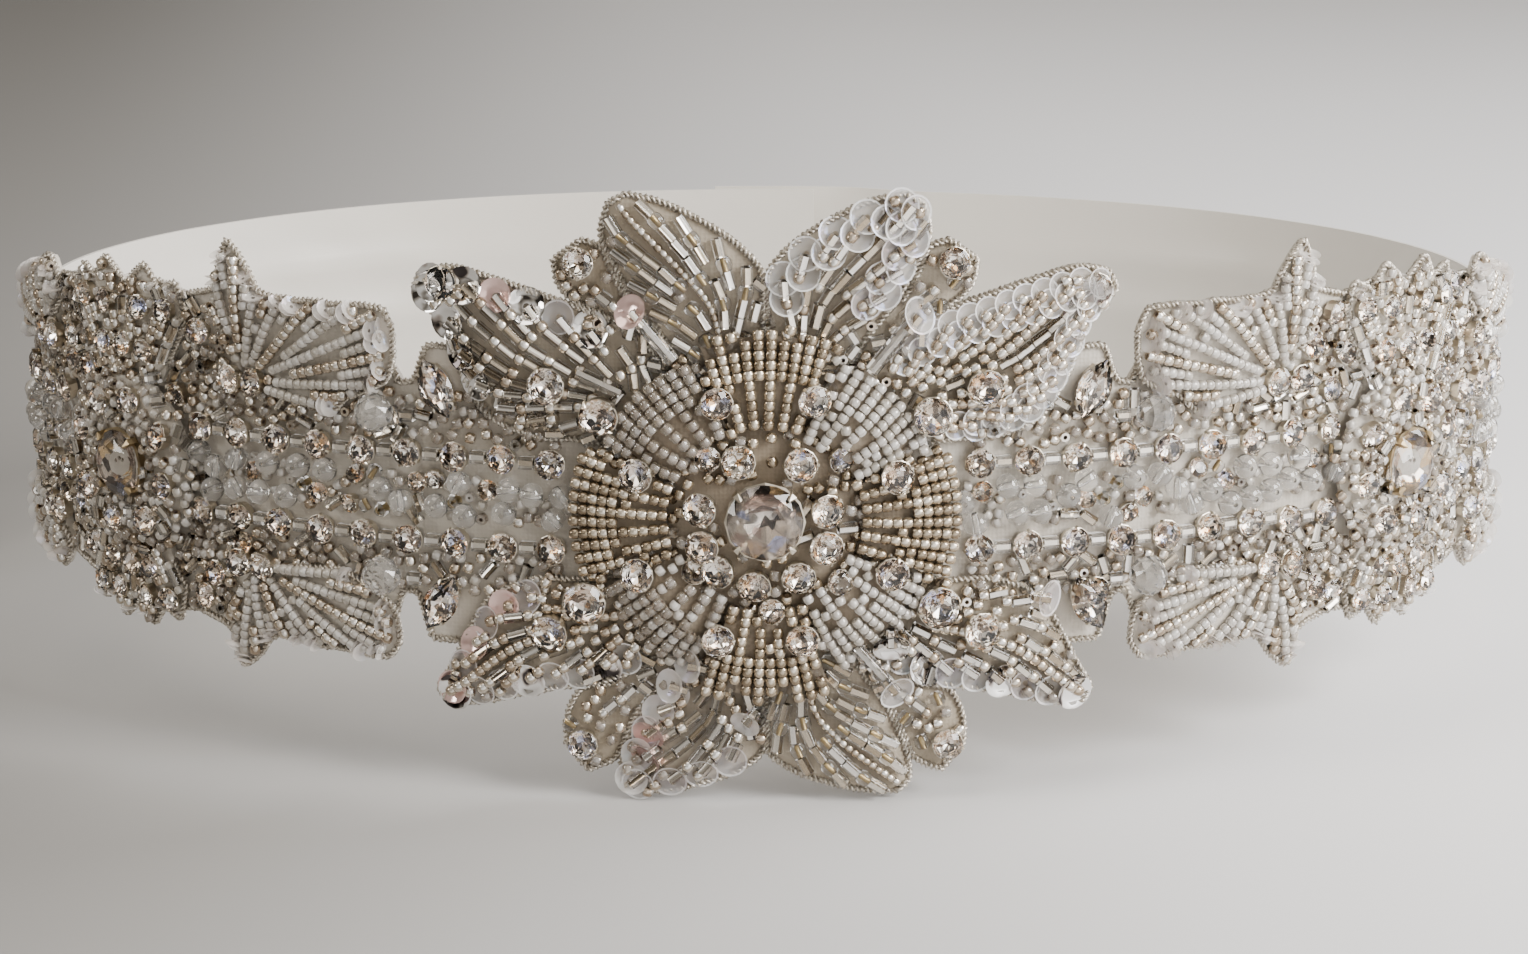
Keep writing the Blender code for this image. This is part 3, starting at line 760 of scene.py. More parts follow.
def change_across(owner, vector, places, values=(0.0, 1.0), **options):
    """A value that goes from the first of values to the second between two places on a vector's X."""
    split = add_node(owner, "ShaderNodeSeparateXYZ")
    change = add_node(owner, "ShaderNodeMapRange", **options)
    for label, value in zip(("From Min", "From Max", "To Min", "To Max"), (*places, *values)):
        change.inputs[label].default_value = value
    link(owner, vector, split.inputs["Vector"])
    link(owner, split.outputs["X"], change.inputs["Value"])
    return change.outputs["Result"]


def make_glass_thread():
    return principled("bead_glass", (1.0, 1.0, 1.0), 0.03, Transmission_Weight=1.0, IOR=1.5)


def bead_material(name, color, roughness, tints, slant=None, **values):
    """Each bead takes one of the tints, on which slant may paint highlights and shade from its face to its
    edges.
    """
    material = principled(name, color, roughness, **values)
    tint = tint_by_bead(material, tints)
    if slant:
        paint_light_by_slant(material, tint, slant)
    return material


def make_silver_lining():
    return bead_material("silver_lining", (0.90, 0.86, 0.79), 0.14, LINING_TINTS, Metallic=1.0)


def make_silver_seed(name, tints):
    """A silver-lined seed bead with painted light: a painted highlight in its middle where it faces the
    view, for its shining lining, painted shade on the flanks of the glass and a lighter painted rim.
    """
    return bead_material(
        name, tints[0][1], 0.16, tints,
        [
            (0.07, (1.0, 1.0, 1.0)), (0.16, (0.46, 0.40, 0.32)),
            (0.45, (0.54, 0.48, 0.40)), (0.8, (0.78, 0.73, 0.66)),
        ],
        Metallic=0.7, Coat_Weight=1.0, Coat_Roughness=0.03,
    )


def make_lustre():
    """Clear glass with a pearly glaze: its body takes the colour of the cloth, with a painted highlight
    where it faces the view and painted white sheen at its edges.
    """
    return bead_material(
        "lustre_glass", (0.7, 0.68, 0.65), 0.12,
        [(0.0, (0.80, 0.76, 0.71)), (0.4, (0.69, 0.65, 0.58)), (0.7, (0.93, 0.91, 0.88))],
        [(0.05, (1.0, 1.0, 1.0)), (0.18, (0.73, 0.70, 0.65)), (0.5, (0.96, 0.95, 0.93))],
        Transmission_Weight=0.40, Coat_Weight=1.0, Coat_Roughness=0.03, Coat_IOR=1.7, Specular_IOR_Level=0.9,
    )


def make_clear_seed():
    """Clear glass seeds, which take the warm colour of the cloth, with a painted highlight where they face
    the view, painted shade round it and a painted white rim.
    """
    return bead_material(
        "clear_seed", (0.7, 0.66, 0.6), 0.06,
        [(0.0, (0.68, 0.615, 0.53)), (0.4, (0.80, 0.74, 0.66)), (0.75, (0.92, 0.88, 0.82))],
        [(0.05, (1.0, 1.0, 1.0)), (0.16, (0.62, 0.57, 0.50)), (0.55, (0.84, 0.80, 0.74))],
        Transmission_Weight=0.70, IOR=1.45, Coat_Weight=1.0, Coat_Roughness=0.02, Coat_IOR=1.7,
    )


def make_hole():
    """The hole of a small bead with its thread, painted dark brown: partly the brown thread, partly painted
    shade inside the hole.
    """
    tints = [(0.0, (0.16, 0.10, 0.07)), (0.5, (0.30, 0.22, 0.14)), (0.8, (0.08, 0.05, 0.04))]
    return bead_material("bead_hole", (0.16, 0.10, 0.07), 0.6, tints)


def make_gold_lining():
    return principled("gold_lining", (0.40, 0.30, 0.15), 0.35, Metallic=0.9)


def make_crystal():
    return principled("crystal_cut", (1.0, 1.0, 1.0), 0.0, Transmission_Weight=1.0, IOR=1.6)


def make_clear_bead():
    """The larger clear glass beads."""
    return principled(
        "bead_clear", (1.0, 0.99, 0.97), 0.02,
        Transmission_Weight=0.94, IOR=1.52, Specular_IOR_Level=0.9, Coat_Weight=1.0, Coat_Roughness=0.01,
    )


def make_foil(name, color, roughness, metallic, scale, stops):
    """The mirror behind a stone, with painted glints: cells of its facets are painted bright, dark and in a
    few colours, as painted reflections and the fire of cut glass.
    """
    material = principled(name, color, roughness, Metallic=metallic)
    cells = texture(material, "ShaderNodeTexVoronoi", Scale=scale)
    split = add_node(material, "ShaderNodeSeparateColor")
    link(material, cells.outputs["Color"], split.inputs["Color"])
    color_ramp(material, split.outputs["Red"], stops, stepped=True)
    return material


def make_silver():
    material = principled("silver_cup", (0.66, 0.60, 0.50), 0.28, Metallic=1.0)
    noise_bump(material, 900.0, 3.0, 0.5, 0.00005)
    return material


def make_old_gold():
    return principled("old_gold", (0.42, 0.33, 0.20), 0.3, Metallic=1.0)


def make_mirror_sequin():
    """Mirrored sequins with painted reflections: noise paints them bright in patches and black in others,
    like the bright and dark of the room mirrored in them.
    """
    material = principled("sequin_mirror", (0.94, 0.93, 0.92), 0.05, Metallic=1.0)
    noise = noise_bump(material, 260.0, 1.0, 0.5, 0.0002)
    color_ramp(
        material, noise, [(0.42, (0.07, 0.06, 0.06)), (0.46, (0.60, 0.54, 0.50)), (0.50, (1.0, 0.99, 0.98))]
    )
    return material


def make_pink_sequin():
    return principled(
        "sequin_pink", (0.86, 0.62, 0.58), 0.16, Metallic=0.55, Coat_Weight=1.0, Coat_Roughness=0.04
    )


def make_clear_sequin(name, color, alpha):
    return principled(
        name, color, 0.07, Alpha=alpha, IOR=1.6, Coat_Weight=1.0, Coat_Roughness=0.02,
        Thin_Film_Thickness=330.0, Thin_Film_IOR=1.4,
    )


def make_cord_yarn():
    """Silver and beige metallic yarn, with bright and dull stretches by noise: partly its mix of silver and
    dull fibres, partly painted sparkle.
    """
    material = principled("metallic_yarn", (0.66, 0.60, 0.50), 0.38, Metallic=0.75)
    noise = noise_bump(material, 2600.0, 2.0, 1.0, 0.00012)
    color_ramp(material, noise, [(0.36, (0.27, 0.235, 0.185)), (0.64, (0.76, 0.71, 0.63))])
    return material


def make_organza(name, dark, light):
    """Sheer cloth over felt: a fine square weave in warm grey beige."""
    material = principled(name, light, 0.7, Sheen_Weight=0.3)
    weave = texture(material, "ShaderNodeTexVoronoi", Scale=1500.0, Randomness=0.25)
    blotch = texture(material, "ShaderNodeTexNoise", Scale=60.0, Detail=4.0)
    color_ramp(material, blotch.outputs["Fac"], [(0.3, dark), (0.7, light)])
    add_bump(material, weave.outputs["Distance"], 0.8, 0.00012)
    return material


def make_satin():
    """Ivory satin: long floats along the ribbon give soft streaks of sheen."""
    material = principled(
        "ivory_satin", (0.72, 0.69, 0.63), 0.30,
        Anisotropic=0.5, Sheen_Weight=0.25, Sheen_Roughness=0.4, Specular_IOR_Level=0.6,
    )
    stretch = texture(material, "ShaderNodeMapping", Scale=(700.0, 700.0, 5200.0))
    noise = add_node(material, "ShaderNodeTexNoise", Scale=1.0, Detail=2.0)
    link(material, stretch.outputs["Vector"], noise.inputs["Vector"])
    add_bump(material, noise.outputs["Fac"], 0.35, 0.00006)
    return material


def make_floor_material():
    """A matt floor with painted light: darker at the left and paler towards the right, as if lit from the
    window on the right.
    """
    material = principled("floor_matt", (0.5, 0.5, 0.5), 0.85)
    turn = texture(material, "ShaderNodeMapping", Rotation=(0.0, 0.0, FLOOR_TURN))
    change = change_across(material, turn.outputs["Vector"], FLOOR_FADE, interpolation_type="SMOOTHSTEP")
    color_ramp(material, change, FLOOR_PAINTED_LIGHT)
    return material


GLASS = make_glass_thread()
LINING = make_silver_lining()
SILVER_SEED = make_silver_seed("silver_lined_seed", SILVER_TINTS)
# Warm seeds: partly their own tone, partly painted shade from the stones round the centre.
WARM_SHADED_SEED = make_silver_seed("warm_shaded_silver_seed", WARM_SHADED_TINTS)
CLEAR_SEED = make_clear_seed()
HOLE = make_hole()
LUSTRE = make_lustre()
GOLD_LINING = make_gold_lining()
CRYSTAL = make_crystal()
CLEAR = make_clear_bead()
FOIL = make_foil("foil", (0.96, 0.94, 0.92), 0.04, 1.0, 1250.0, FOIL_GLINT_COLORS)
PALE_FOIL = make_foil("pale_foil", (0.92, 0.87, 0.82), 0.12, 0.85, 480.0, PALE_FOIL_GLINT_COLORS)
SILVER = make_silver()
OLD_GOLD = make_old_gold()
YARN = make_cord_yarn()
ORGANZA = make_organza("organza_over_felt", (0.36, 0.305, 0.23), (0.48, 0.42, 0.335))
# The inner pads' organza is a darker copy: painted shade from the stones round the centre.
SHADED_ORGANZA = make_organza("organza_inner_shaded", (0.22, 0.175, 0.12), (0.36, 0.30, 0.23))
PALE_ORGANZA = make_organza("organza_pale", (0.57, 0.52, 0.45), (0.66, 0.62, 0.55))
SATIN = make_satin()
SEQUIN_MATERIALS = {
    "mirror": make_mirror_sequin(),
    "pink": make_pink_sequin(),
    "pearl": make_clear_sequin("sequin_pearl", (0.84, 0.82, 0.79), 0.34),
    # The rims are painted highlights: the outer band of a sequin is whiter and less clear, for the light
    # that its edge catches.
    "pearl_rim": make_clear_sequin("sequin_pearl_rim", (0.95, 0.94, 0.92), 0.75),
    "smoke": make_clear_sequin("sequin_smoke", (0.52, 0.49, 0.47), 0.52),
    "smoke_rim": make_clear_sequin("sequin_smoke_rim", (0.74, 0.71, 0.69), 0.8),
    "white": make_clear_sequin("sequin_white", (0.86, 0.83, 0.79), 0.66),
}


# Shapes of single beads, stones and sequins. Each is in millimetres, threaded along X and facing Z


class Shape:
    """The points and faces of one small part, ready to be repeated."""

    def __init__(self, materials, smooth=True):
        self.mesh = bmesh.new()
        self.materials = materials
        self.smooth = smooth

    def tube(self, profile, segments, axis="x", slot_of=None, closed=True, turn=0.0, square=()):
        """Turns a profile of (radius, height) round an axis. slot_of gives the material of each band.

        The rings whose numbers are in square are pulled in to a square.
        """
        loops = []
        for number, (radius, height) in enumerate(profile):
            ring = []
            for i in range(segments):
                angle = 2 * math.pi * (i + turn) / segments
                reach = radius * (math.sqrt(0.5) if number in square and i % 2 else 1.0)
                across, high = reach * math.cos(angle), reach * math.sin(angle)
                point = (height, across, high) if axis == "x" else (across, high, height)
                ring.append(self.mesh.verts.new(point))
            loops.append(ring)
        count = len(profile) if closed else len(profile) - 1
        for band in range(count):
            first, second = loops[band], loops[(band + 1) % len(profile)]
            for i in range(segments):
                j = (i + 1) % segments
                face = self.mesh.faces.new((first[i], first[j], second[j], second[i]))
                face.material_index = slot_of(band) if slot_of else 0
        return self

    def hull(self, points, slot_of=None):
        """The convex solid round the points. slot_of turns a face's middle into its material."""
        verts = [self.mesh.verts.new(point) for point in points]
        made = bmesh.ops.convex_hull(self.mesh, input=verts)
        for element in made["geom"]:
            if isinstance(element, bmesh.types.BMFace) and slot_of:
                element.material_index = slot_of(element.calc_center_median())
        return self

    def finish(self, outward=True):
        if outward:
            self.mesh.normal_update()
            bmesh.ops.recalc_face_normals(self.mesh, faces=self.mesh.faces[:])
        self.mesh.verts.ensure_lookup_table()
        self.mesh.verts.index_update()
        self.points = np.array([vert.co[:] for vert in self.mesh.verts])
        self.corners = np.array([vert.index for face in self.mesh.faces for vert in face.verts])
        self.sizes = np.array([len(face.verts) for face in self.mesh.faces])
        self.slots = np.array([face.material_index for face in self.mesh.faces])
        self.mesh.free()
        return self


def seed_bead(radius, hole, half, glass, wall):
    """A small round bead with its hole."""
    profile = [
        (hole, -half),
        (0.80 * radius, -half),
        (radius, -0.5 * half),
        (radius, 0.5 * half),
        (0.80 * radius, half),
        (hole, half),
    ]
    shape = Shape([glass, wall])
    return shape.tube(profile, 8, slot_of=lambda band: int(band == 5)).finish()


def round_bead(radius, hole, half):
    """A clear pressed bead with rounded sides."""
    profile = [(hole, -half)]
    for turn in (-62, -38, -14, 14, 38, 62):
        angle = math.radians(turn)
        height = half * math.sin(angle) / math.sin(math.radians(62))
        profile.append((radius * math.cos(angle), height))
    profile.append((hole, half))
    return Shape([CLEAR]).tube(profile, 12).finish()


def bugle(radius, hole, half, lining, segments=8):
    """A glass tube with a lined hole, which is square in a round tube."""
    profile = [(hole, -half), (radius, -half), (radius, half), (hole, half)]
    square = (0, 3) if segments == 8 else ()
    shape = Shape([GLASS, lining])
    shape.tube(profile, segments, slot_of=lambda band: int(band == 3), turn=0.5, square=square)
    return shape.finish()


def brilliant_points(crown, depth, outline=lambda angle: 1.0):
    """Points of a round cut stone of radius 1: table, crown, girdle, pavilion and tip."""
    points = []
    for radius, height, count, turn in [
        (0.56, crown, 8, 0.5),
        (0.80, 0.62 * crown, 8, 0.0),
        (1.00, 0.0, 16, 0.0),
        (1.00, -0.06, 16, 0.0),
        (0.58, -0.06 - 0.50 * depth, 8, 0.5),
    ]:
        for i in range(count):
            angle = 2 * math.pi * (i + turn) / count
            reach = radius * outline(angle)
            points.append((reach * math.cos(angle), reach * math.sin(angle), height))
    points.append((0.0, 0.0, -0.06 - depth))
    return points


def stone(crown=0.36, depth=0.62, foil=None):
    return Shape([CRYSTAL, foil or FOIL], smooth=False).hull(
        brilliant_points(crown, depth), slot_of=lambda middle: int(middle.z < -0.07)
    )


def cup(metal, wall=1.05):
    """A setting with four claws for a stone of radius 1."""
    shape = Shape([metal], smooth=False)
    profile = [(0.99, -0.08), (wall, -0.10), (0.86, -0.78), (0.70, -0.74)]
    shape.tube(profile, 12, axis="z")
    for i in range(4):
        turn = Matrix.Rotation(math.pi / 2 * (i + 0.5), 4, "Z")
        shape.hull([turn @ Vector(point) for point in [
            (0.98, -0.10, -0.2), (0.98, 0.10, -0.2), (wall + 0.05, -0.10, -0.2), (wall + 0.05, 0.10, -0.2),
            (0.96, -0.09, 0.10), (0.96, 0.09, 0.10), (wall + 0.02, -0.08, 0.16), (wall + 0.02, 0.08, 0.16),
            (0.86, -0.05, 0.22), (0.86, 0.05, 0.22), (0.88, 0.0, 0.29),
        ]])
    return shape


def faceted_ball(radius, length, count):
    half = length / 2
    points = []
    rings = [(-1.0, 0.42, 0.0), (-0.62, 0.82, 0.5), (0.0, 1.0, 0.0), (0.62, 0.82, 0.5), (1.0, 0.42, 0.0)]
    for share, width, turn in rings:
        for i in range(count):
            angle = 2 * math.pi * (i + turn) / count
            points.append((share * half, radius * width * math.cos(angle), radius * width * math.sin(angle)))
    return Shape([CLEAR], smooth=False).hull(points).finish()


def sequin(kind):
    """A cupped sequin of 5 mm with a hole in its middle."""
    profile = [(0.42, 0.0), (1.15, 0.02), (1.75, 0.24), (2.25, 0.55), (2.5, 0.62)]
    # The outer band takes the kind's rim material where there is one: a painted highlight along the sequin's
    # edge.
    shape = Shape([SEQUIN_MATERIALS[kind], SEQUIN_MATERIALS.get(f"{kind}_rim", SEQUIN_MATERIALS[kind])])
    shape.tube(profile, 18, axis="z", closed=False, slot_of=lambda band: int(band == 3))
    return shape.finish(outward=False)


def navette_outline(angle):
    """An oval with pointed ends, longest along X, as a share of its half length."""
    return 0.56 / (0.56 + 0.44 * abs(math.sin(angle)) ** 0.9)


SHAPES = {
    "seed_silver": seed_bead(0.95, 0.36, 0.72, SILVER_SEED, HOLE),
    "seed_warm_shaded": seed_bead(0.95, 0.36, 0.72, WARM_SHADED_SEED, HOLE),
    "seed_tiny": seed_bead(0.66, 0.25, 0.55, SILVER_SEED, HOLE),
    "seed_pearl": seed_bead(0.86, 0.24, 0.64, LUSTRE, LUSTRE),
    "seed_clear": seed_bead(1.00, 0.30, 0.74, CLEAR_SEED, HOLE),
    "seed_gold": seed_bead(1.25, 0.30, 0.98, GLASS, GOLD_LINING),
    "bugle": bugle(0.98, 0.50, 1.45, LINING),
    "tube": bugle(1.12, 0.55, 1.85, LINING),
    "long_tube": bugle(1.15, 0.38, 4.0, LUSTRE),
    "square": bugle(1.30, 0.55, 1.05, LINING, segments=4),
    "round_clear": round_bead(2.1, 0.42, 1.7),
    "stone": stone().finish(),
    "large_stone": stone(crown=0.30, depth=0.42, foil=PALE_FOIL).finish(),
    "cup": cup(SILVER).finish(),
    "gold_cup": cup(OLD_GOLD, wall=1.09).finish(),
    "navette": Shape([CRYSTAL, FOIL], smooth=False)
    .hull(brilliant_points(0.30, 0.40, navette_outline), slot_of=lambda middle: int(middle.z < -0.07))
    .finish(),
    "large_bead": faceted_ball(3.3, 5.6, 10),
    **{f"sequin_{kind}": sequin(kind) for kind in ("mirror", "pink", "pearl", "smoke", "white")},
}
# The length that a bead takes on its thread, and its radius
LENGTHS = {
    "seed_silver": 1.50, "seed_warm_shaded": 1.50, "seed_tiny": 1.14, "seed_pearl": 1.31, "seed_clear": 1.54,
    "seed_gold": 2.0, "bugle": 2.96, "tube": 3.8, "square": 2.15, "round_clear": 3.4,
}
RADII = {
    "seed_silver": 0.92, "seed_warm_shaded": 0.92, "seed_tiny": 0.66, "seed_pearl": 0.84, "seed_clear": 1.0,
    "seed_gold": 1.20, "bugle": 0.96, "tube": 1.12, "square": 1.10, "round_clear": 2.1,
}


def frame_of(x_axis, normal):
    """Rows of axes: X along x_axis as far as it lies square to the normal, Z along the normal."""
    normal = unit(np.asarray(normal, float))
    x_axis = np.asarray(x_axis, float)
    x_axis = unit(x_axis - normal * (x_axis * normal).sum(-1, keepdims=True))
    return np.stack([x_axis, np.cross(normal, x_axis), normal], -1)


class Beadwork:
    """Collects small parts, keeps beads out of each other, and joins each kind into one mesh."""

    CELL = 3.0
    OVERLAP = 0.88  # how near two beads may come, as a share of the radii of both

    def __init__(self, region):
        self.region = region
        self.items = {}
        self.taken = {}

    def is_free(self, point, radius):
        x, y, z = (float(value) for value in point)
        i, j, k = (math.floor(value / self.CELL) for value in (x, y, z))
        for a in (i - 1, i, i + 1):
            for b in (j - 1, j, j + 1):
                for c in (k - 1, k, k + 1):
                    for other_x, other_y, other_z, other in self.taken.get((a, b, c), ()):
                        reach = self.OVERLAP * (radius + other)
                        if (x - other_x) ** 2 + (y - other_y) ** 2 + (z - other_z) ** 2 < reach * reach:
                            return False
        return True

    def take(self, point, radius):
        x, y, z = (float(value) for value in point)
        cell = tuple(math.floor(value / self.CELL) for value in (x, y, z))
        self.taken.setdefault(cell, []).append((x, y, z, radius))

    def add(self, kind, point, x_axis, normal, scale=(1.0, 1.0, 1.0), radius=0.0):
        axes = frame_of(x_axis, normal) * np.asarray(scale, float)
        self.items.setdefault(kind, []).append((axes, np.asarray(point, float)))
        if radius:
            self.take(point, radius)

    def bead(self, kind, point, x_axis, normal, stretch=1.0, force=False, later=None):
        """A bead on its thread, left out where another is in its place.

        Its own place is taken at once, or where a list is given, noted there for later.
        """
        radius = RADII[kind]
        reach = max(LENGTHS[kind] * stretch / 2 - radius, 0.0)
        spots = [point] if reach < 0.2 else [point - x_axis * reach, point + x_axis * reach]
        if not force and not all(self.is_free(spot, radius) for spot in spots):
            return
        self.add(kind, point, x_axis, normal, (stretch, 1.0, 1.0))
        for spot in spots:
            if later is None:
                self.take(spot, radius)
            else:
                later.append((spot, radius))

    def strand(self, patch, path, kinds, lift=0.0, jitter=0.12):
        """Threads beads end to end over a patch, along a path of two (s, w), or three for an arc."""
        path = np.array(path, float)
        share = np.linspace(0.0, 1.0, 60)[:, None]
        if len(path) == 3:
            line = (1 - share) ** 2 * path[0] + 2 * share * (1 - share) * path[1] + share**2 * path[2]
        else:
            line = path[0] + share * (path[1] - path[0])
        points, normals = patch.at(line[:, 0], line[:, 1], lift), patch.normal(line[:, 0], line[:, 1])
        run = distances(points)
        names, starts, here = [], [], 0.0
        while True:
            kind = kinds[len(names) % len(kinds)]
            if here + LENGTHS[kind] > run[-1] + 0.35:
                break
            names.append(kind)
            starts.append(here)
            here += LENGTHS[kind] + RANDOM.uniform(0.0, 0.08)
        if not names:
            return
        starts = np.array(starts)
        ends = starts + np.array([LENGTHS[kind] for kind in names])
        first, last = on_line(starts, run, points), on_line(ends, run, points)
        normal = unit(on_line((starts + ends) / 2, run, normals))
        x_axis = unit(unit(last - first) + RANDOM.normal(0.0, jitter * 0.4, first.shape))
        rise = np.array([RADII[kind] for kind in names]) + RANDOM.uniform(0.0, jitter, len(names))
        centre = (first + last) / 2 + normal * rise[:, None]
        later = []
        for i, kind in enumerate(names):
            self.bead(kind, centre[i], x_axis[i], normal[i], later=later)
        for spot, radius in later:
            self.take(spot, radius)

    def stone(self, point, normal, diameter, tilt=0.10):
        normal = unit(np.asarray(normal, float) + RANDOM.normal(0.0, tilt, 3))
        turn = RANDOM.normal(0.0, 1.0, 3)
        size = (diameter / 2,) * 3
        self.add("stone", point, turn, normal, size)
        self.add("cup", point, turn, normal, size)
        self.take(np.asarray(point, float) - normal * 0.4, diameter / 2)

    def sequin(self, kind, point, x_axis, normal, size):
        self.add(f"sequin_{kind}", point, x_axis, normal, (size, size, size))

    def scatter(self, patch, box, kinds, tries, lift=0.0, direction=None, upright=0.0):
        """Fills what is still bare of a patch with beads of the given kinds."""
        s = RANDOM.uniform(box[0], box[1], tries)
        w = RANDOM.uniform(box[2], box[3], tries)
        chosen = [kinds[i] for i in RANDOM.integers(len(kinds), size=tries)]
        normals, foot = patch.normal(s, w), patch.at(s, w, lift)
        ahead = unit(patch.at(s + patch.step, w) - patch.at(s - patch.step, w))
        side = np.cross(normals, ahead)
        if direction is None:
            angle = RANDOM.uniform(0.0, math.pi, tries)[:, None]
        else:
            angle = direction + RANDOM.normal(0.0, 0.25, tries)[:, None]
        threads = unit(ahead * np.cos(angle) + side * np.sin(angle))
        stands = RANDOM.random(tries) < upright
        for i, kind in enumerate(chosen):
            if stands[i]:
                self.bead(kind, foot[i] + normals[i] * LENGTHS[kind] / 2, normals[i], threads[i])
            else:
                self.bead(kind, foot[i] + normals[i] * RADII[kind], threads[i], normals[i])

    def make(self, slots):
        """One object for each kind. slots names a slot for each kind, which is passed on but not used."""
        return {
            kind: joined(f"{self.region}_{kind}", SHAPES[kind], items, slots.get(kind, "beadwork"))
            for kind, items in self.items.items()
        }


def add_object(name, data):
    obj = bpy.data.objects.new(name, data)
    bpy.context.scene.collection.objects.link(obj)
    return obj


def finish_object(name, mesh, materials, slot):
    for material in materials:
        mesh.materials.append(material)
    mesh.validate()
    mesh.update()
    obj = add_object(name, mesh)
    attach(obj, "root")
    return obj


def mesh_of(name, points, corners, sizes, slots, smooth):
    """A mesh from flat arrays: points in millimetres, corners in face order, faces by their sizes."""
    mesh = bpy.data.meshes.new(name)
    mesh.vertices.add(len(points))
    mesh.vertices.foreach_set("co", (points * MM).astype(np.float32).ravel())
    mesh.loops.add(len(corners))
    mesh.loops.foreach_set("vertex_index", corners.astype(np.int32))
    mesh.polygons.add(len(sizes))
    starts = np.concatenate([[0], np.cumsum(sizes)[:-1]])
    mesh.polygons.foreach_set("loop_start", starts.astype(np.int32))
    mesh.polygons.foreach_set("material_index", slots.astype(np.int32))
    mesh.polygons.foreach_set("use_smooth", np.full(len(sizes), smooth))
    mesh.update(calc_edges=True)
    return mesh


def joined(name, shape, items, slot):
    axes = np.array([item[0] for item in items])
    centres = np.array([item[1] for item in items])
    points = np.einsum("kij,nj->kni", axes, shape.points) + centres[:, None, :]
    offsets = np.arange(len(items)) * len(shape.points)
    corners = (shape.corners[None, :] + offsets[:, None]).ravel()
    sizes = np.tile(shape.sizes, len(items))
    slots = np.tile(shape.slots, len(items))
    mesh = mesh_of(name, points.reshape(-1, 3), corners, sizes, slots, shape.smooth)
    obj = finish_object(name, mesh, shape.materials, slot)
    if shape.smooth:
        mesh.set_sharp_from_angle(angle=SHARP)
    return obj


# Cloth


def shell(patch, foot, steps, ripple=0.0, thickness=None):
    """Points and faces of one stretch of cloth: a crowned top, sides and an underside.

    The underside lies flat at foot, or where a thickness is given, that far under the top.
    """
    s, w = np.meshgrid(np.linspace(0, 1, steps[0] + 1), np.linspace(0, 1, steps[1] + 1), indexing="ij")
    along, up = patch.spot(s, w)
    high = patch.height(s, w)
    if ripple:
        high = high + ripple * np.sin(along * 1.9 + up * 0.8) * np.sin(up * 1.7 - along * 0.6)
    top = place(along, up, high).reshape(-1, 3)
    bottom = place(along, up, foot if thickness is None else high - thickness).reshape(-1, 3)
    points = np.concatenate([top, bottom])
    across = steps[1] + 1
    faces = []
    for i in range(steps[0]):
        for j in range(steps[1]):
            a, b = i * across + j, (i + 1) * across + j
            faces.append((a, b, b + 1, a + 1))
    rim = [i * across for i in range(steps[0] + 1)]
    rim += [steps[0] * across + j for j in range(1, across)]
    rim += [i * across + steps[1] for i in range(steps[0] - 1, -1, -1)]
    rim += [j for j in range(steps[1] - 1, 0, -1)]
    count = len(top)
    under = [tuple(count + k for k in reversed(face)) for face in faces]
    sides = [(a, a + count, b + count, b) for a, b in zip(rim, rim[1:] + rim[:1])]
    return points, faces + under + sides


def cloth_object(name, shells, material, slot):
    mesh = bmesh.new()
    for points, faces in shells:
        verts = [mesh.verts.new(point * MM) for point in points]
        for face in faces:
            mesh.faces.new([verts[k] for k in face])
    mesh.normal_update()
    bmesh.ops.recalc_face_normals(mesh, faces=mesh.faces[:])
    data = bpy.data.meshes.new(name)
    mesh.to_mesh(data)
    mesh.free()
    data.shade_smooth()
    data.set_sharp_from_angle(angle=SHARP_CLOTH)
    return finish_object(name, data, [material], slot)


def band_patch():
    """The whole of the band's cloth, with s along it and w up it."""
    stations = [Station(-s.along, s.top, s.foot) for s in reversed(BAND[1:])] + BAND
    alongs = [station.along for station in stations]
    tops = [station.top for station in stations]
    feet = [station.foot for station in stations]

    def spot(s, w):
        along = (2 * s - 1) * BAND_END
        foot, top = np.interp(along, alongs, feet), np.interp(along, alongs, tops)
        return along, foot + w * (top - foot)

    return Patch(spot, lambda s, w: 0.05 * np.sin(s * 300.0) * np.sin(w * 17.0) - 0.05)


def ribbon_patch(sign):
    """A ribbon from the band's end to the lap, with its creases."""
    start, end = BAND_END + SEWN_GAP, BACK + LAP / 2

    def spot(s, w):
        along = start + s * (end - start)
        return sign * along, RIBBON_FOOT + w * (RIBBON_TOP - RIBBON_FOOT)

    def height(s, w):
        along = start + s * (end - start)
        rise = LAP_RISE * smooth_step(BACK - LAP / 2 - LAP_SLOPE, BACK - LAP / 2 - 3.0, along)
        depth = np.sin(math.pi * smooth_step(BAND_END, BACK - LAP_SLOPE, along))
        first = np.exp(-(((w - 0.33 - 0.0006 * (along - BAND_END)) / 0.09) ** 2))
        second = np.exp(-(((w - 0.74 + 0.0005 * (along - BAND_END)) / 0.08) ** 2))
        fine = 0.12 * np.sin(along * 0.21 + 5.0 * w) * np.sin(9.0 * w + along * 0.05) * depth
        return -depth * (0.9 * first + 0.7 * second) + fine + (rise if sign > 0 else 0.0)

    return Patch(spot, height)


# Cord


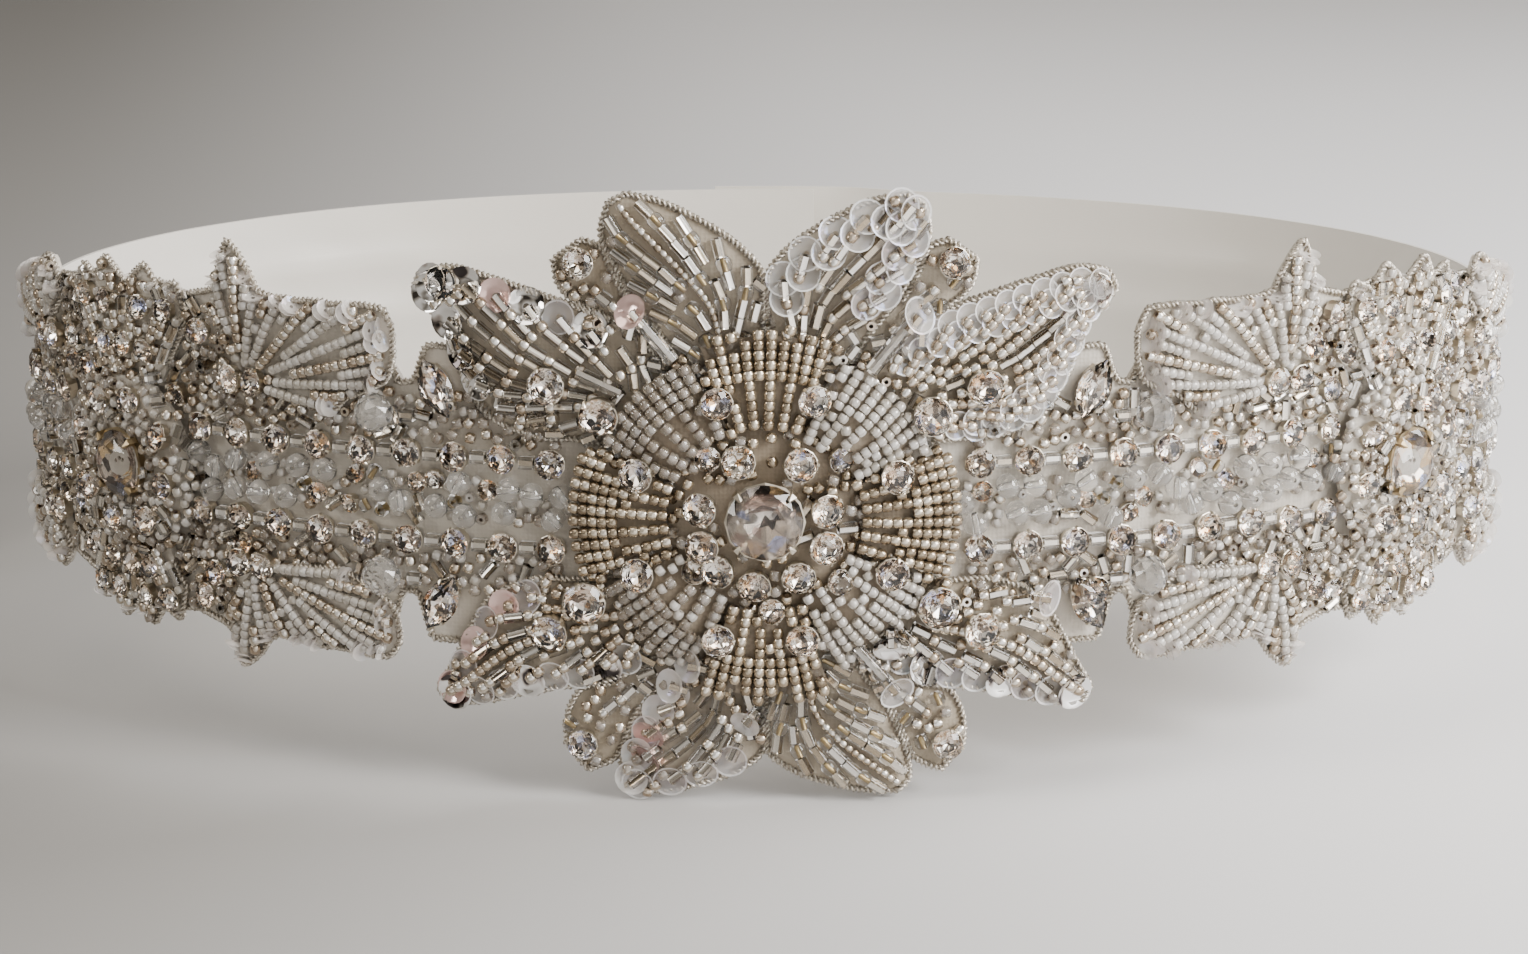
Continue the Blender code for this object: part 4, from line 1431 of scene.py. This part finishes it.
def cord_points(points, normals):
    """Two plies twisted round each other along a line. Points and faces of both."""
    ply, twist, pitch, step, sides = 0.36, 0.31, 1.7, 0.34, 5
    run = distances(points)
    count = max(int(run[-1] / step), 4)
    places = np.linspace(0.0, run[-1], count + 1)
    line = on_line(places, run, points)
    out = unit(on_line(places, run, normals))
    tangent = unit(np.gradient(line, axis=0))
    side = unit(np.cross(out, tangent))
    out = np.cross(tangent, side)
    all_points, all_faces = [], []
    for phase in (0.0, math.pi):
        angle = 2 * math.pi * places / pitch + phase
        middle = line + twist * (np.cos(angle)[:, None] * side + np.sin(angle)[:, None] * out)
        ring = 2 * math.pi * np.arange(sides) / sides
        rough = ply * (1 + 0.16 * RANDOM.standard_normal((count + 1, sides)))
        offsets = (
            np.cos(ring)[None, :, None] * side[:, None, :] + np.sin(ring)[None, :, None] * out[:, None, :]
        ) * rough[:, :, None]
        grid = (middle[:, None, :] + offsets).reshape(-1, 3)
        first = sum(len(p) for p in all_points)
        all_points.append(grid)
        index = first + np.arange((count + 1) * sides).reshape(count + 1, sides)
        quads = np.stack(
            [index[:-1], np.roll(index[:-1], -1, 1), np.roll(index[1:], -1, 1), index[1:]], -1
        ).reshape(-1, 4)
        all_faces.append(quads)
        all_faces.append([index[0][::-1], index[-1]])
    return all_points, all_faces


def cord_object(name, lines):
    """Joins cords along several lines, each (points, normals)."""
    points, corners, sizes = [], [], []
    total = 0
    for line in lines:
        parts, faces = cord_points(*line)
        for group in faces:
            for face in group:
                corners.extend(int(k) + total for k in face)
                sizes.append(len(face))
        for part in parts:
            points.append(part)
        total += sum(len(part) for part in parts)
    sizes = np.array(sizes)
    mesh = mesh_of(name, np.concatenate(points), np.array(corners), sizes, np.zeros(len(sizes)), True)
    return finish_object(name, mesh, [YARN], "silver_metal")


def outline(patch, corners, steps=24, lift=0.25):
    """A line round a patch through its corners (s, w), a little above the cloth."""
    s, w = [], []
    for (s0, w0), (s1, w1) in zip(corners, corners[1:]):
        share = np.linspace(0, 1, steps, endpoint=False)
        s.append(s0 + share * (s1 - s0))
        w.append(w0 + share * (w1 - w0))
    s = np.concatenate(s + [[corners[-1][0]]])
    w = np.concatenate(w + [[corners[-1][1]]])
    return patch.at(s, w, lift), patch.normal(s, w)


# Dressing of the parts


def web_patch(corners, sign):
    """The cloth between two petals and the lobe in their gap, from its four corners."""
    inner, outer, inner_far, outer_far = (np.array(corner) for corner in corners)

    def spot(s, w):
        s, w = s[..., None], w[..., None]
        point = (inner * (1 - s) + outer * s) * (1 - w) + (inner_far * (1 - s) + outer_far * s) * w
        return sign * point[..., 0], point[..., 1]

    return Patch(spot, lambda s, w: 0.55 + 0.0 * s)


def sew_sequins(work, patch, style, sequins, number, edge_point, inward):
    """The sequins that close one thread at a petal's edge, one in each row."""
    s, edge = edge_point
    for row in range(style.rows):
        kind = sequins[(number + 2 * row) % len(sequins)]
        size = MIRROR_SIZE if kind == "mirror" else SEQUIN_SIZE
        if style.pitch <= CLOSE_PITCH:
            size = CLOSE_SEQUIN_SIZE
        lean = unit(patch.normal(s, edge) - inward * SEQUIN_LEAN + RANDOM.normal(0.0, 0.08, 3))
        lift = 0.5 + 0.12 * (number % 2) + 0.5 * row
        work.sequin(kind, patch.at(s, edge, lift) + inward * SEQUIN_PITCH * row, inward, lean, size)


def petal_threads(work, patch, style):
    """Threads that run in from a petal's edges to its root, each closed by a sequin where it has them."""
    length = np.linalg.norm(patch.at(0.35, 0.5) - patch.at(1.0, 0.5)) / 0.65
    count = int(THREAD_ROOM * length / style.pitch)
    for high, sequins in ((True, style.high), (False, style.low)):
        for i in range(count):
            s = THREAD_FIRST - THREAD_SPREAD * (i + 0.1) / count
            width = np.linalg.norm(patch.at(s, 1.0) - patch.at(s, 0.0))
            inset = (SEQUIN_INSET if sequins else BEAD_INSET) / width
            edge = 1.0 - inset if high else inset
            root = 0.5 + (edge - 0.5) * (0.16 + 0.5 * max(0.0, 0.75 - s))
            turn = (s - THREAD_BEND, root + (edge - root) * 0.35)
            inward = unit(patch.at(*turn) - patch.at(s, edge))
            if sequins and s > style.bare[0 if high else 1]:
                sew_sequins(work, patch, style, sequins, i, (s, edge), inward)
            end = (max(ROOT_END, s - THREAD_LENGTH), root)
            work.strand(patch, [(s, edge), turn, end], style.thread, lift=0.4)
    kinds = FILLS[style.fill]
    work.scatter(patch, (0.15, 0.50, 0.03, 0.97), kinds + ["square", "bugle"], 200, lift=0.1, upright=0.15)
    work.scatter(patch, (0.40, 0.95, 0.12, 0.88), kinds, style.density, lift=0.05, direction=0.0)


def single_sequins(work):
    """The single sequins of the flower, and long clear tubes with a thread in them."""
    for kind, along, up, out, turn, size in SINGLE_SEQUINS:
        point, turn = place(along, up, out), math.radians(turn)
        ahead = place(along + math.cos(turn), up + math.sin(turn), out) - point
        lean = unit(waist(along)[1] - 0.75 * unit(ahead) + RANDOM.normal(0.0, 0.12, 3))
        work.sequin(kind, point, ahead, lean, size)
        work.bead("bugle", point + 1.7 * unit(ahead) + 0.9 * lean, unit(ahead), waist(along)[1])
    for start, end, out in LONG_TUBES:
        start, end = place(*start, out), place(*end, out - 0.6)
        length = np.linalg.norm(end - start)
        middle = (start + end) / 2
        work.add("long_tube", middle, unit(end - start), waist(middle[0])[1], (length / 8.0, 1.0, 1.0))
        for share in (0.15, 0.5, 0.85):
            work.take(start + share * (end - start), 1.1)


def flower_stones(work):
    """Stones in cups on the petals, at their tips, and round the centre stone."""
    for sign in SIDES.values():
        for along, up, out, diameter in FLOWER_STONES:
            shift = RANDOM.normal(0.0, STONE_SHIFT, 2)
            point = place(sign * along + shift[0], up + shift[1], out + STONE_SEAT)
            work.stone(point, waist(sign * along)[1], diameter)
    for side, along, up, out, diameter in TIP_STONES:
        along *= SIDES[side]
        work.stone(place(along, up, out), waist(along)[1], diameter)
    for angle, radius in zip(RING_ANGLES, RING_RADII):
        turn = math.radians(angle)
        along, up = radius * math.cos(turn), radius * math.sin(turn)
        lean = waist(along)[1] + 0.02 * np.array([along, 0.0, up])
        work.stone(place(along, up, RING_OUT), lean, RING_STONE)
    for along, up in CORE_STONES:
        work.stone(place(along, up, CORE_OUT), waist(along)[1], CORE_STONE, tilt=0.2)


def flower_cloth(work):
    """The cloth of petals and lobes, the beads between them, and the lines of the cord round them."""
    cloth, lines = [], []
    for sign in SIDES.values():
        for leaf in LEAVES.values():
            patch = leaf_patch(leaf, sign)
            cloth.append(shell(patch, SEAM, (28, 12), PETAL_RIPPLE))
            lines.append(outline(patch, [(0.22, 1.0), (1.0, 1.0), (1.0, 0.0), (0.22, 0.0)]))
        for corners in WEBS:
            web = web_patch(corners, sign)
            cloth.append(shell(web, 0.0, (8, 3)))
            work.scatter(web, (0.1, 1.0, 0.0, 1.0), ["bugle", "seed_silver", "square"], 60, lift=0.5)
    piece = cloth_object("flower_cloth", cloth, ORGANZA, "organza")
    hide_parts(*[f"{leaf}_{side}" for leaf in LEAVES for side in SIDES])
    return lines


def bead_petals(work):
    """A line of beads down the middle of each petal, and its threads."""
    for style in STYLES:
        patch = leaf_patch(LEAVES[style.leaf], SIDES[style.side])
        work.strand(patch, [(0.97, 0.5), (0.36, 0.5)], style.vein, lift=0.2)
        petal_threads(work, patch, style)


def bead_lobes(work):
    for sign in SIDES.values():
        for level in ("high", "low"):
            patch = leaf_patch(LEAVES[f"lobe_{level}"], sign)
            work.strand(patch, [(0.12, 0.5), (0.6, 0.5)], ["square", "seed_silver"])
            work.scatter(patch, (0.1, 0.9, 0.12, 0.88), ["seed_gold", "seed_clear", "seed_silver"], 110)


def bead_inner_pads(work):
    """Columns of beads on the eight pads, and beads in the gaps between them and under the ring."""
    for number in range(8):
        patch = inner_patch(number)
        kinds = DOME_BEADS.get(number, ["seed_warm_shaded"])
        columns = 9 if number % 2 else 10
        for i in range(columns):
            s = (i + 0.5) / columns
            start = 0.48 if i % 2 else -0.04
            work.strand(patch, [(s, 1.08), (s, start)], kinds, lift=0.05, jitter=0.14)
        work.scatter(patch, (-0.05, 1.05, -0.04, 1.1), kinds, 400, lift=0.05, direction=1.57)
        gap = gap_patch(number)
        work.scatter(gap, (-0.2, 1.2, 0.0, 1.0), ["seed_warm_shaded", "seed_clear"], 160, direction=1.57)
    ring = ring_patch(0.0, (6.6, 14.4), CORE_FLOOR)
    work.scatter(ring, (0.0, 1.0, 0.0, 0.75), ["seed_warm_shaded", "seed_clear", "bugle"], 110)
    work.scatter(ring, (0.0, 1.0, 0.75, 1.0), ["seed_warm_shaded", "seed_clear"], 300)


def inner_cloth():
    """The cloth of the eight pads and of the pad under the ring, darker than the petals' as painted shade
    from the stones round the centre.
    """
    pads = [shell(inner_patch(number), UPPER_LEAF - 0.3, (14, 8), RIPPLE) for number in range(8)]
    pads.append(core_cloth(0.0, (0.4, 14.9), SEAM, CORE_FLOOR))
    piece = cloth_object("flower_inner_cloth", pads, SHADED_ORGANZA, "organza")
    nodes = [f"inner_{'dome' if number % 2 else 'rows'}_{number}" for number in range(8)]
    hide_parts("flower_core", *nodes)


def dress_flower():
    work = Beadwork("flower")
    flower_stones(work)
    single_sequins(work)
    lines = flower_cloth(work)
    bead_petals(work)
    bead_lobes(work)
    bead_inner_pads(work)
    inner_cloth()
    work.make({"stone": "crystal", "cup": "silver_metal"})
    cord_object("flower_cord", lines)


def core_cloth(centre, radii, foot, floor):
    """The round pad under a ring of stones, as a closed shell."""
    segments, rings = 40, 5
    points, faces = [], []

    def top(i, j):
        return j * segments + i % segments

    def low(i, j):
        return (rings + 1) * segments + top(i, j)

    for high in (None, foot):
        for j in range(rings + 1):
            radius = radii[0] + (radii[1] - radii[0]) * j / rings
            for i in range(segments):
                angle = 2 * math.pi * i / segments
                out = high if high is not None else floor - 0.9 * smooth_step(0.75, 1.0, j / rings)
                points.append(place(centre + radius * math.cos(angle), radius * math.sin(angle), out))
    for i in range(segments):
        for j in range(rings):
            faces.append((top(i, j), top(i + 1, j), top(i + 1, j + 1), top(i, j + 1)))
            faces.append((low(i, j), low(i, j + 1), low(i + 1, j + 1), low(i + 1, j)))
        faces.append((top(i, rings), top(i + 1, rings), low(i + 1, rings), low(i, rings)))
        faces.append((top(i, 0), low(i, 0), low(i + 1, 0), top(i + 1, 0)))
    return np.array(points), faces


def big_stone(name, along, up, out, radius, metal, node):
    """A large round stone with its foil, held by claws or by its bezel."""
    work = Beadwork(name)
    normal = waist(along)[1]
    work.add("large_stone", place(along, up, out), (0.3, 0, 1), normal, (radius, radius, radius))
    work.add(metal, place(along, up, out), (0, 0, 1), normal, (radius, radius, radius * 0.8))
    pieces = work.make({"large_stone": "crystal", metal: "silver_metal"})
    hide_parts(node)


def chain_stations():
    centre = CHAIN_START + CUP_HALF
    while centre + CUP_HALF <= CHAIN_END:
        yield centre
        centre += CHAIN_PITCH


def dress_links(work, sign, height):
    """A row of stones in cups, joined by short square tubes, up to the rosette and behind it."""
    for centre in chain_stations():
        if abs(centre - ROSETTE) < ROSETTE_RING[1] + 1.0:
            continue
        up = height + RANDOM.normal(0.0, 0.2)
        work.stone(place(sign * centre, up, CHAIN_OUT), waist(sign * centre)[1], CHAIN_STONE, tilt=0.08)
        link_at = centre + CHAIN_PITCH / 2
        if abs(link_at - ROSETTE) > ROSETTE_RING[1] + 1.0:
            middle = place(sign * link_at, up, LINK_OUT)
            ahead = unit(place(sign * (link_at + 1), up, LINK_OUT) - middle)
            work.bead("square", middle, ahead, waist(sign * link_at)[1], LINK_STRETCH, force=True)


def band_box(sign, start, end, low, high):
    """A stretch of the band on one side, with its smaller end first."""
    return (min(sign * start, sign * end), max(sign * start, sign * end), low, high)


def dress_trail(work, box):
    """Loose clear beads and a few stones between the two rows."""
    loose_stones(work, box, 9, TRAIL_STONE)
    work.scatter(BAND_PATCH, box, ["round_clear"], 300, upright=0.4)
    work.scatter(BAND_PATCH, box, ["seed_clear", "seed_pearl", "seed_gold", "bugle"], 500, upright=0.1)
    work.scatter(BAND_PATCH, box, ["seed_silver", "seed_pearl"], 700)


def dress_notch(work, sign, level):
    """A large faceted bead with a square one beside it, and a pointed stone in its cup."""
    along, up = LARGE_BEADS[level]
    centre = place(sign * along, up, LARGE_BEAD_OUT)
    ahead = place(sign * (along + 1), up, LARGE_BEAD_OUT) - centre
    work.add("large_bead", centre, ahead, waist(sign * along)[1], radius=3.0)
    nearer, lower, out = BESIDE_BEAD
    beside = sign * (along - nearer)
    work.bead("square", place(beside, up - lower, out), ahead, waist(beside)[1], force=True)
    along, up, turn = NAVETTES[level]
    turn = math.radians(turn)
    middle = place(sign * along, up, NAVETTE_OUT)
    ahead = place(sign * (along + math.cos(turn)), up + math.sin(turn), NAVETTE_OUT) - middle
    normal = waist(sign * along)[1]
    work.add("navette", middle, ahead, normal, (5.0, 5.0, 3.6), radius=2.4)
    work.add("cup", middle - normal * 0.3, ahead, normal, (4.3, 2.4, 2.6))


def dress_chains(side, sign):
    """The rows of stones on one side, the trail between them, and the beads on the cloth beside them."""
    work = Beadwork(f"chain_{side}")
    for height in CHAIN_HEIGHTS.values():
        dress_links(work, sign, height)
    for start, end in ((CHAIN_START - 2, ROSETTE - 15.0), (ROSETTE + 15.0, CHAIN_END)):
        dress_trail(work, band_box(sign, start, end, TRAIL[0] + 0.4, TRAIL[1] - 0.4))
    for level in ("high", "low"):
        dress_notch(work, sign, level)
    fill_band(work, sign)
    glass = ("stone", "round_clear", "navette", "large_bead")
    pieces = work.make({"cup": "silver_metal", **{kind: "crystal" for kind in glass}})
    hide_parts(f"chain_upper_{side}", f"chain_lower_{side}")
    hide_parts(f"trail_{side}")
    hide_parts(f"navette_high_{side}", f"navette_low_{side}")
    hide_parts(f"bead_high_{side}", f"bead_low_{side}")


def loose_stones(work, box, tries, diameter):
    """Small stones on the band's cloth, where there is room for them."""
    for _ in range(tries):
        along, up = RANDOM.uniform(box[0], box[1]), RANDOM.uniform(box[2], box[3])
        point = place(along, up, 0.42 * diameter)
        if work.is_free(point, diameter / 2):
            work.stone(point, waist(along)[1], diameter, tilt=0.2)


def fill_band(work, sign):
    """Clear and silver beads on the band's cloth beside the chains, and up to its edges by a rosette."""
    for start, end, low, high, stones, tries in FIELDS:
        box = band_box(sign, start, end, low, high)
        loose_stones(work, box, stones, FIELD_STONE)
        work.scatter(BAND_PATCH, box, ["bugle", "seed_silver", "seed_clear"], tries // 3, upright=0.05)
        work.scatter(BAND_PATCH, box, ["seed_pearl", "seed_clear", "seed_silver"], tries)


def dress_fan(work, patch, reach_side, level):
    """Rows of clear beads from a fan's root to its edge, each closed by upright sequins."""
    rays = FANS[reach_side, level]
    angles, reaches = along_rays(rays, np.linspace(0, 1, 400))
    arc = np.abs(np.gradient(angles)) * reaches * 0.8
    places = np.cumsum(arc)
    count = int(places[-1] / FAN_ROW_PITCH)
    rows = np.interp((np.arange(count) + 0.5) / count * places[-1], places, np.linspace(0, 1, 400))
    for number, s in enumerate(rows):
        silver = number % 3 == 1
        kind = "seed_silver" if silver else "seed_pearl"
        start = 0.42 if number % 2 else 0.06
        end = 0.95 if silver else 0.86
        bend = min(max(s - 0.035, 0.0), 1.0)
        work.strand(patch, [(s, end), (s, (start + end) / 2), (bend, start)], [kind], lift=0.15, jitter=0.08)
        if not silver:
            outward = unit(patch.at(s, 0.95) - patch.at(s, 0.85))
            normal = patch.normal(s, 0.9)
            for step in range(2):
                point = patch.at(s, 0.875 + 0.05 * step, 1.3)
                lean = unit(outward + 0.3 * normal + RANDOM.normal(0.0, 0.18, 3))
                work.sequin("white", point, normal, lean, FAN_SEQUIN_SIZE)
    kinds = ["seed_pearl", "seed_silver"]
    work.scatter(patch, (0.02, 0.98, 0.05, 0.94), kinds, 700, lift=0.1, direction=1.4)


def dress_crown(work, patch):
    """Columns of beads with stones among them on the leaves above and below a rosette."""
    for s, w in CROWN_STONES:
        work.stone(patch.at(s, w, 1.7), patch.normal(s, w), CROWN_STONE)
    for number in range(CROWN_COLUMNS):
        s = (number + 0.5) / CROWN_COLUMNS
        kinds = ["seed_silver"] if number % 3 else ["bugle", "seed_pearl"]
        work.strand(patch, [(s, 0.02), (s, 0.93)], kinds, lift=0.1)
        if number % 2:
            outward = unit(patch.at(s, 0.95) - patch.at(s, 0.85))
            work.sequin("pearl", patch.at(s, 0.93, 1.0), patch.normal(s, 0.9), outward, CROWN_SEQUIN_SIZE)
    work.scatter(patch, (0.02, 0.98, 0.03, 0.95), ["seed_silver", "seed_pearl", "seed_clear", "square"], 600)


def rosette_stones(work, sign):
    """The stones of a rosette's ring, and two at the root of each fan."""
    for angle, radius, diameter in ROSETTE_STONES:
        turn = math.radians(angle)
        along, up = sign * (ROSETTE + radius * math.cos(turn)), radius * math.sin(turn)
        work.stone(place(along, up, CORE_OUT), waist(along)[1], diameter, tilt=0.16)
    for root_out, root_up in FAN_ROOTS.values():
        for towards in (-1, 1):
            for offset in (-FAN_ROOT_OFFSET, FAN_ROOT_OFFSET):
                along = sign * (ROSETTE + towards * (root_out + offset))
                work.stone(place(along, root_up, FAN_ROOT_OUT), waist(along)[1], FAN_ROOT_STONE)


def dress_rosette(side, sign):
    """One rosette: its fans and leaves, its ring, and the large stone in the middle."""
    work = Beadwork(f"rosette_{side}")
    centre = sign * ROSETTE
    cloth, lines = [], []
    rosette_stones(work, sign)
    for reach_side, level in FANS:
        patch = fan_patch(reach_side, level, sign)
        cloth.append(shell(patch, SEAM, (39, 8), RIPPLE))
        lines.append(outline(patch, [(0.0, 0.45), (0.0, 1.0), (1.0, 1.0), (1.0, 0.5)], steps=60))
        dress_fan(work, patch, reach_side, level)
    for level in CROWNS:
        patch = crown_patch(level, sign)
        cloth.append(shell(patch, SEAM, (32, 6), RIPPLE))
        lines.append(outline(patch, [(0.0, 0.4), (0.0, 1.0), (1.0, 1.0), (1.0, 0.4)], steps=50))
        dress_crown(work, patch)
    ring = ring_patch(centre, ROSETTE_RING, ROSETTE_FLOOR)
    work.scatter(ring, (0.0, 1.0, 0.0, 1.0), ["seed_silver", "seed_clear", "seed_pearl", "square"], 900)
    work.scatter(ring, (0.0, 1.0, 0.72, 1.12), ["seed_silver", "seed_clear", "seed_pearl"], 1300)
    cloth.append(core_cloth(centre, (0.4, ROSETTE_RING[1]), UNDER_RING, ROSETTE_FLOOR))
    piece = cloth_object(f"rosette_cloth_{side}", cloth, PALE_ORGANZA, "organza")
    work.make({"stone": "crystal", "cup": "silver_metal"})
    cord_object(f"rosette_cord_{side}", lines)
    fans = [f"fan_{level}_{reach_side}_{side}" for reach_side, level in FANS]
    crowns = [f"crown_{level}_{side}" for level in CROWNS]
    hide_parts(f"rosette_ring_{side}", *fans, *crowns)
    big_stone(f"rosette_centre_{side}", centre, -0.5, 5.4, 5.6, "gold_cup", f"rosette_stone_{side}")


def dress_band():
    """The band's cloth, with its cord along both edges."""
    patch = band_patch()
    piece = cloth_object("band_cloth", [shell(patch, -CLOTH + 0.2, (210, 14))], PALE_ORGANZA, "organza")
    lines = [outline(patch, [(0.0, w), (1.0, w)], steps=420, lift=0.2) for w in (0.0, 1.0)]
    cord_object("band_cord", lines)
    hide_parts("applique_base")


def dress_ribbons():
    for side, sign in SIDES.items():
        patch = ribbon_patch(sign)
        cloth = shell(patch, 0.0, (120, 20), thickness=RIBBON_CLOTH)
        piece = cloth_object(f"satin_ribbon_{side}", [cloth], SATIN, "satin")
        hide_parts(f"ribbon_{side}")


def make_stage():
    """A pale floor that rises behind the sash in one smooth sweep."""
    mesh = bmesh.new()
    rows = []
    for step in range(FLOOR_STEPS + 1):
        share = step / FLOOR_STEPS
        y = FLOOR_FRONT + FLOOR_LENGTH * share
        z = FLOOR * MM + FLOOR_RISE * max(0.0, share - FLOOR_FLAT) ** 2
        rows.append([mesh.verts.new((x, y, z)) for x in (-FLOOR_HALF_WIDTH, FLOOR_HALF_WIDTH)])
    for first, second in zip(rows, rows[1:]):
        mesh.faces.new((first[0], first[1], second[1], second[0]))
    data = bpy.data.meshes.new("floor")
    mesh.to_mesh(data)
    mesh.free()
    data.shade_smooth()
    data.materials.append(make_floor_material())
    add_object("floor", data)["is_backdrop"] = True


def make_lamps():
    """Soft square lamps, each facing its target."""
    for row in LAMPS:
        data = bpy.data.lights.new(row.name, "AREA")
        data.shape = "RECTANGLE"
        data.size, data.size_y = row.size
        data.energy = row.power
        data.color = row.color
        lamp = add_object(row.name, data)
        lamp.location = row.position
        forward = Vector(row.target) - Vector(row.position)
        lamp.rotation_euler = forward.to_track_quat("-Z", "Y").to_euler()


def make_room():
    """The room round the sash, with bright and dark stretches, brighter to the right."""
    world = bpy.data.worlds.new("studio")
    world.use_nodes = True
    background = world.node_tree.nodes["Background"]
    coordinates = add_node(world, "ShaderNodeTexCoord")
    noise = add_node(world, "ShaderNodeTexNoise", Scale=1.7, Detail=1.0)
    ramp = add_node(world, "ShaderNodeValToRGB")
    fill_ramp(ramp, ROOM_COLORS)
    strength = change_across(world, coordinates.outputs["Generated"], (-1.0, 1.0), ROOM_STRENGTH)
    link(world, coordinates.outputs["Generated"], noise.inputs["Vector"])
    link(world, noise.outputs["Fac"], ramp.inputs["Fac"])
    link(world, ramp.outputs["Color"], background.inputs["Color"])
    link(world, strength, background.inputs["Strength"])
    bpy.context.scene.world = world


def make_camera():
    forward = Vector((0.0, math.cos(CAMERA_PITCH), -math.sin(CAMERA_PITCH)))
    data = bpy.data.cameras.new("camera")
    data.sensor_fit = "HORIZONTAL"
    data.angle = CAMERA_FOV
    data.clip_start = 0.01
    camera = add_object("camera", data)
    camera.location = (CAMERA_TARGET - forward * CAMERA_DISTANCE) * MM
    camera.rotation_euler = forward.to_track_quat("-Z", "Y").to_euler()
    bpy.context.scene.camera = camera


def dress_snaps():
    """The press snaps keep their solids and take on silver."""
    for name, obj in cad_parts.items():
        if name.startswith("snap"):
            for material_slot in obj.material_slots:
                material_slot.material = SILVER


make_camera()
make_lamps()
make_room()
make_stage()
dress_band()
dress_ribbons()
dress_snaps()
for side_name, side_sign in SIDES.items():
    dress_chains(side_name, side_sign)
dress_flower()
big_stone("flower_centre", 0.0, 0.0, 6.6, 6.0, "cup", "centre_stone")
for side_name, side_sign in SIDES.items():
    dress_rosette(side_name, side_sign)

boxes = {"cad": CAD_BOX, "visual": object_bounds()}
{key: [[float(x) for x in corner] for corner in box] for key, box in boxes.items()}
